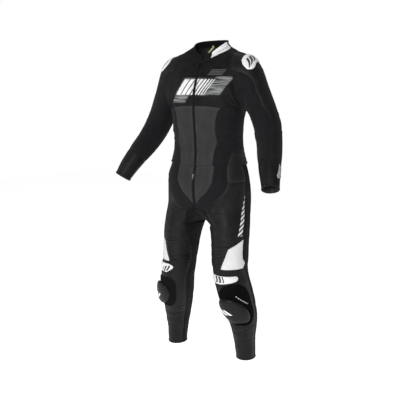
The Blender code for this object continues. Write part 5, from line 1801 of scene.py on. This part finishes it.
pair("knee_side", WHITE_HIDE, "white_leather",
     lay_out(LEG_NET, WHITE_TIP, KNEE_TOP, white_edge, side_edge))

# %% [markdown]
# ## The accordion above the knee
# Eight channels of elastic are sewn across the leather there. The thread pulls the hide into ribs that
# open when the knee bends. Each rib is round, each seam between two ribs is a narrow groove.

# %% Accordion
RIB_PACE = 0.0019            # rows across the ribs
RIB_COLUMNS = (0.15, 0.0042)  # the ribs' length and the pace along them
tries = np.linspace(THIGH_END, KNEE_TOP, TRIES)
run = travelled(LEG_NET.read((groin_edge(tries) + white_edge(tries)) / 2, tries)[0])
rib_levels = np.interp(np.arange(0, run[-1], RIB_PACE), run, tries)
rib_levels = np.append(rib_levels, KNEE_TOP)
share = spread(*RIB_COLUMNS)
place = groin_edge(rib_levels)[:, None] * (1 - share) + white_edge(rib_levels)[:, None] * share
points, normals = LEG_NET.read(place, np.broadcast_to(rib_levels[:, None], place.shape))
through_ribs = (rib_levels - THIGH_END) / (KNEE_TOP - THIGH_END) * RIBS["count"]
lively = 0.10 * np.sin(place * 0.21 + 1.0) + 0.07 * np.sin(place * 0.53)
phase = through_ribs[:, None] + lively * np.sin(np.pi * through_ribs / RIBS["count"])[:, None]
uneven = 1 + 0.22 * np.sin(2.3 * phase + 0.9) + 0.12 * np.sin(place * 0.16 + 2 * phase)
width_share = np.minimum(share, 1 - share)
deepening = np.interp(through_ribs, (0, RIBS["count"]), (0.35, 1.85))[:, None]
ribs = RIBS["height"] * deepening * uneven * np.abs(np.sin(np.pi * phase)) ** 0.75
ribs = ribs * np.clip(width_share / 0.05, 0.25, 1)       # flatter in the last twentieth beside the seams
pair("knee_accordion", BLACK_HIDE, "black_leather", (points, normals), extra=ribs)
print("rib pitch", round(1000 * run[-1] / RIBS["count"], 1), "mm")

# %% [markdown]
# ## Knees, calves and shins
# The knee front is one moulded leather piece over the armour. Behind the knee is stretch cloth again,
# and below it hide closes the boot-cut leg.

# %% Lower legs
pair("knee_front", BLACK_HIDE, "black_leather", lay_out(LEG_NET, KNEE_TOP, SHIN_TOP, knee_inner, knee_outer))
pair("knee_back", SHADED_STRETCH, "stretch_cloth",
     lay_out(LEG_NET, KNEE_TOP, CALF_TOP, knee_outer, lambda row: knee_inner(row) + 360))
pair("calf", SOFT_HIDE, "black_leather",
     lay_out(LEG_NET, CALF_TOP, LEG_HEM, knee_outer, lambda row: knee_inner(row) + 360), turned=(False, True))
pair("shin", BLACK_HIDE, "black_leather", lay_out(LEG_NET, SHIN_TOP, LEG_HEM, knee_inner, knee_outer),
     turned=(False, True))
print("cloth pieces:", len(MADE))

# %% [markdown]
# ## Hard plates
# The caps and shields are injection-moulded and painted. A plate is thickest in the middle, its edge is
# rounded over and its foot stands just clear of the hide.

# %% Shoulder caps and knee shields
def plate(name, side, finish, net, spec, bevel=0.0022):
    """A hard plate over the cloth; side -1 mirrors it, `bevel` is how wide its edge is rounded over."""
    points, normals = plate_base(net, spec)
    rows, columns = points.shape[:2]
    across = np.abs(np.linspace(-1, 1, columns))[None, :]
    up = np.abs(np.linspace(-1, 1, rows))[:, None]
    dome = (1 - across ** spec["squareness"]) * (1 - up ** spec["squareness"])
    thick = spec["edge"] + (spec["thick"] - spec["edge"]) * dome
    along_row, along_column = travelled(points, axis=1), travelled(points, axis=0)
    beside = np.minimum(
        np.minimum(along_row, along_row[:, -1:] - along_row),
        np.minimum(along_column, along_column[-1:] - along_column))
    inner = points + normals * spec["lift"]
    round_off = np.clip(beside / bevel, 0, 1)
    drop = (1 - np.sqrt(1 - (1 - round_off) ** 2)) * min(spec["edge"] * 0.7, bevel)
    top = inner + normals * (thick - drop)[..., None]
    top, inner, normals = (grid * (side, 1, 1) for grid in (top, inner, normals))
    parts = grid_quads(rows, columns)
    faces, _ = outward(np.concatenate(parts), parts[0], top, normals)
    from_middle = along_row - along_row[:, columns // 2][:, None]
    made = add_mesh(
        name, both_sides(top, inner), faces, [finish], None,
        maps_of(from_middle, along_column, beside, beside), sharp=45.0)
    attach(made, "suit")
    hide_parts(name)
    return made


for way, side, shield_spec, pad_spec, puck_spec in KNEE_ARMOUR:
    plate("shoulder_cap_" + side, way, CAP_PAINT, SLEEVE_NET, CAP)
    plate("knee_shield_" + side, way, SHIELD_PAINT[side], LEG_NET, SHIELD | shield_spec)
    cushion = plate(
        "slider_pad_" + side, way, PAD_CLOTH[side], LEG_NET, PAD | pad_spec, bevel=0.0016)
    plate(
        "knee_slider_" + side, way, PUCK_PLASTIC[side], LEG_NET, PUCK | puck_spec,
        bevel=0.0075)

# %% [markdown]
# ## Zips
# A race suit closes with moulded teeth on a woven tape. Each tooth is a small block clamped on the
# tape's edge; the teeth of both sides stand half a pitch apart and hook into each other.

# %% Zip tapes
def strip(parts):
    """Points and normals of a tape from stretches of its left half, mirrored about the middle."""
    halves = [np.concatenate(grids) for grids in zip(*parts)]
    for half in halves:
        half[:, 0, 0] = 0.0
    points, normals = (np.concatenate([half[:, :0:-1] * (-1, 1, 1), half], axis=1) for half in halves)
    return points, unit(normals)


HALF = np.linspace(0, 1, 7)                  # shares from the middle to a tape's edge
TAPE_FORM = {"extra": -0.0007, "wall": 0.0015}    # a tape lies a little lower and is thinner than hide
low_rows = np.linspace(HEM_HEIGHT, CHEST_HEIGHT, 46)
high_rows = np.linspace(0, NOTCH, 44)[1:]
low_part = TRUNK_NET.read(ZIP_ANGLE * HALF + 0 * low_rows[:, None], low_rows[:, None] + 0 * HALF)
high_part = FRONT_PATCH.read(ZIP_SHARE * HALF + 0 * high_rows[:, None], high_rows[:, None] + 0 * HALF)
front_tape = strip([low_part, high_part])
shell("front_zip_tape", TAPE, "stretch_cloth", *front_tape, **TAPE_FORM)
fly_rows = np.linspace(0, FLY_ROW + 1, 60)
fly_place = middle_line(fly_rows)[:, None] * (1 - HALF) + tape_edge(fly_rows)[:, None] * HALF
fly_tape = strip([LEG_NET.read(fly_place, fly_rows[:, None] + 0 * HALF)])
shell("fly_zip_tape", TAPE, "stretch_cloth", *fly_tape, still=under_hem, **TAPE_FORM)

# %% Teeth
PITCH = 0.0026
TOOTH = {
    "reach": 0.0030, "back": 0.0006, "half_along": 0.00078, "low": -0.0010, "high": 0.0009,
    "round": 0.00022,
}
LOOK_AHEAD = 0.001           # metres, to see which way the tape runs
TEETH_START = 0.004          # metres of bare tape before the first tooth
SLIDER_ROOM = 0.006          # and between the last one and the middle of the slider


def tooth_block(root, side, along, normal, way):
    """Sixteen corners of a tooth with a chamfered top; `way` is +1 or -1, the side its tape is on."""
    lifts = (TOOTH["low"], TOOTH["high"] - TOOTH["round"], TOOTH["high"])
    rings = []
    for lift, shrink in zip(lifts, (0.0, 0.0, TOOTH["round"])):
        a, b = TOOTH["back"] - shrink, TOOTH["reach"] - shrink
        h = TOOTH["half_along"] - shrink
        for x, y in ((-a, -h * 0.8), (-a, h * 0.8), (b, h), (b, -h)):
            rings.append(root + side * way * x + along * y + normal * lift)
    return rings


BLOCK_FACES = [
    (0, 1, 5, 4), (1, 2, 6, 5), (2, 3, 7, 6), (3, 0, 4, 7),
    (4, 5, 9, 8), (5, 6, 10, 9), (6, 7, 11, 10), (7, 4, 8, 11), (8, 9, 10, 11), (3, 2, 1, 0)]


def teeth(name, points, normals, stop):
    """Two rows of teeth along the middle column of a tape, up to `stop` metres from its start."""
    middle = points.shape[1] // 2
    line, up = points[:, middle], normals[:, middle]
    run = travelled(line)
    corners, faces = [], []
    for k, at in enumerate(np.arange(TEETH_START, stop, PITCH / 2)):
        root = at_length(at, run, line)
        along = unit(at_length(at + LOOK_AHEAD, run, line) - root)
        normal = unit(at_length(at, run, up))
        side = unit(np.cross(along, normal))
        block = tooth_block(root, side, along, normal, 1 if k % 2 else -1)
        if k % 2 == 0:
            block = [block[i] for i in (1, 0, 3, 2, 5, 4, 7, 6, 9, 8, 11, 10)]
        faces += [tuple(len(corners) + i for i in face) for face in BLOCK_FACES]
        corners += block
    made = add_mesh(name, np.array(corners), faces, [DARK_METAL], sharp=30.0)
    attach(made, "suit")
    return len(faces) // len(BLOCK_FACES)


front_line = travelled(front_tape[0][:, front_tape[0].shape[1] // 2])
at_chest = front_line[len(low_rows) - 1]
front_slider_at = at_chest + FRONT_SLIDER_ROW / NOTCH * (front_line[-1] - at_chest)
fly_line = travelled(fly_tape[0][:, fly_tape[0].shape[1] // 2])
print("front teeth:", teeth("front_zip_teeth", *front_tape, stop=front_slider_at - SLIDER_ROOM))
fly_from_top = (fly_tape[0][::-1], fly_tape[1][::-1])
fly_slider_at = fly_line[-1] - np.interp(FLY_SLIDER_ROW, fly_rows, fly_line)
print("fly teeth:", teeth("fly_zip_teeth", *fly_from_top, stop=fly_slider_at - SLIDER_ROOM))

# %% [markdown]
# ## Sliders and pull tabs
# The slider is a channel of cast metal over the teeth. Its tab turns on a pin between two cheeks and
# hangs down the zip. The tab is a separate piece, because it is the only part of a zip that swings.

# %% Parts of cast metal
def beside_zip(net, place, level):
    """Gives points by metres sideways, off the cloth and up the zip, from one point of its line."""
    point = net.read(np.array([place]), np.array([level]))[0][0] * (0, 1, 1)
    normal = unit(slope(upper_field if net is FRONT_PATCH else lower_field, point[None])[0] * (0, 1, 1))
    upward = np.array([0, -normal[2], normal[1]]) * np.sign(normal[1])
    return lambda x, off, up: point + np.array([1.0, 0, 0]) * x + normal * off + upward * up


def bevelled(made, width, segments=3):
    bevel = made.modifiers.new("soft_edges", "BEVEL")
    bevel.width, bevel.segments = width, segments
    bevel.limit_method, bevel.angle_limit = "ANGLE", np.radians(35)
    return made


def lofted(name, sections, finish):
    """A solid through outlines of equal count, capped at both ends."""
    sections = np.asarray(sections)
    levels, count = sections.shape[:2]
    faces = []
    for level in range(levels - 1):
        for k in range(count):
            a, b = level * count + k, level * count + (k + 1) % count
            faces.append((a, b, b + count, a + count))
    faces.append(tuple(range(count))[::-1])
    faces.append(tuple(range((levels - 1) * count, levels * count)))
    return add_mesh(name, sections.reshape(-1, 3), faces, [finish], sharp=35.0)


# %% Slider
SLIDER_SHAPE = (             # place along the zip, shares of the full width and of the walls' height
    (SLIDER["above"], 0.86, 0.80), (SLIDER["above"] - 0.0012, 1.0, 1.0), (-0.003, 1.0, 1.0),
    (-0.0065, 0.86, 0.92), (-SLIDER["below"], 0.70, 0.70))


def zip_slider(name, at, finish):
    """An open channel whose walls hold the tab's pin."""
    sections = []
    for along, wide, tall in SLIDER_SHAPE:
        top = SLIDER["floor"] + (SLIDER["wall_top"] - SLIDER["floor"]) * tall
        w, c = SLIDER["half_width"] * wide, SLIDER["channel"] * wide
        sections.append([at(x, n, along) for x, n in (
            (-w, SLIDER["under"]), (w, SLIDER["under"]), (w, top), (c, top),
            (c, SLIDER["floor"]), (-c, SLIDER["floor"]), (-c, top), (-w, top))])
    body = bevelled(lofted(name + "_slider_body", sections, finish), 0.00035)
    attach(body, "suit")
    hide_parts(name + "_slider")


# %% Pull tab
def pull_tab(name, at, finish):
    """A flat ring at the pin, a waist, and an end plate with a long hole."""
    low, high = TAB["under"], TAB["under"] + TAB["thick"]
    steps = 28
    turn = np.linspace(0, 2 * np.pi, steps, endpoint=False)
    start, stop = TAB["along"][0], TAB["along"][-1]
    centre, length = (start + stop) / 2, (start - stop) / 2

    def rim(angle):
        along = centre + length * np.sign(np.cos(angle)) * np.abs(np.cos(angle)) ** 0.55
        wide = np.interp(-along, -np.array(TAB["along"]), TAB["half_width"])
        return wide * np.sign(np.sin(angle)) * np.abs(np.sin(angle)) ** 0.45, along

    outline_points = [rim(a) for a in turn]
    wide, tall = TAB["hole"]
    hole = [(wide * np.sin(a), TAB["hole_along"] + tall * np.cos(a)) for a in turn]
    corners, faces = [], []
    for n in (low, high):
        corners += [at(x, n, along) for x, along in outline_points] + [at(x, n, along) for x, along in hole]
    for k in range(steps):
        j = (k + 1) % steps
        faces += [(k, j, steps + j, steps + k), (2 * steps + k, 3 * steps + k, 3 * steps + j, 2 * steps + j),
                  (k, 2 * steps + k, 2 * steps + j, j), (steps + k, steps + j, 3 * steps + j, 3 * steps + k)]
    tab = bevelled(add_mesh(
        name + "_pull_tab", np.array(corners), faces, [finish], sharp=35.0, pivot=at(0, (low + high) / 2, 0)),
        0.0002, 2)
    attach(tab, name + "_pull")
    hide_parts(name + "_pull")


for name, finish, net, place, level in (
    ("front_zip", DARK_METAL, FRONT_PATCH, 0.0, FRONT_SLIDER_ROW),
    ("fly_zip", ZIP_METAL, LEG_NET, float(middle_line(FLY_SLIDER_ROW)), FLY_SLIDER_ROW),
):
    here = beside_zip(net, place, level)
    zip_slider(name, here, finish)
    pull_tab(name, here, finish)

# %% [markdown]
# ## Neck label
# A woven label hangs inside the back of the neck. It shows through the collar's opening as a pale strip.

# %% Label
neck_angle = np.linspace(*LABEL["angles"], 10)
on_collar = np.linspace(LABEL["top"], COLLAR_FOOT, 5)[:, None]
on_back = np.linspace(0.012, LABEL["foot"], 14)[:, None]      # starts just below the collar's seam
patch_row = NAPE + (1 - NAPE) * (neck_angle - 180) / 90
collar_points, collar_normals = COLLAR_NET.read(neck_angle + 0 * on_collar, on_collar + 0 * neck_angle)
back_points, back_normals = BACK_PATCH.read(on_back + 0 * neck_angle, patch_row + 0 * on_back)
points = np.concatenate([collar_points, back_points * (-1, 1, 1)])
normals = np.concatenate([collar_normals, back_normals * (-1, 1, 1)])
sag = LABEL["sag"] * np.sin(np.linspace(0, np.pi, len(neck_angle)))
hung = points - normals * (WALL + LABEL["clear"] + sag)[..., None]
along_row, along_column = travelled(hung, axis=1), travelled(hung, axis=0)
beside = np.minimum(along_row, along_row[:, -1:] - along_row)
label = add_mesh(
    "woven_label", both_sides(hung, hung - normals * LABEL["thick"]),
    np.concatenate(grid_quads(*hung.shape[:2])), [LABEL_WEAVE], None,
    maps_of(along_row, along_column, beside, beside))
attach(label, "suit")
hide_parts("neck_label")

# %% Sizes and finish
print("cut sizes:", json.dumps(MADE))
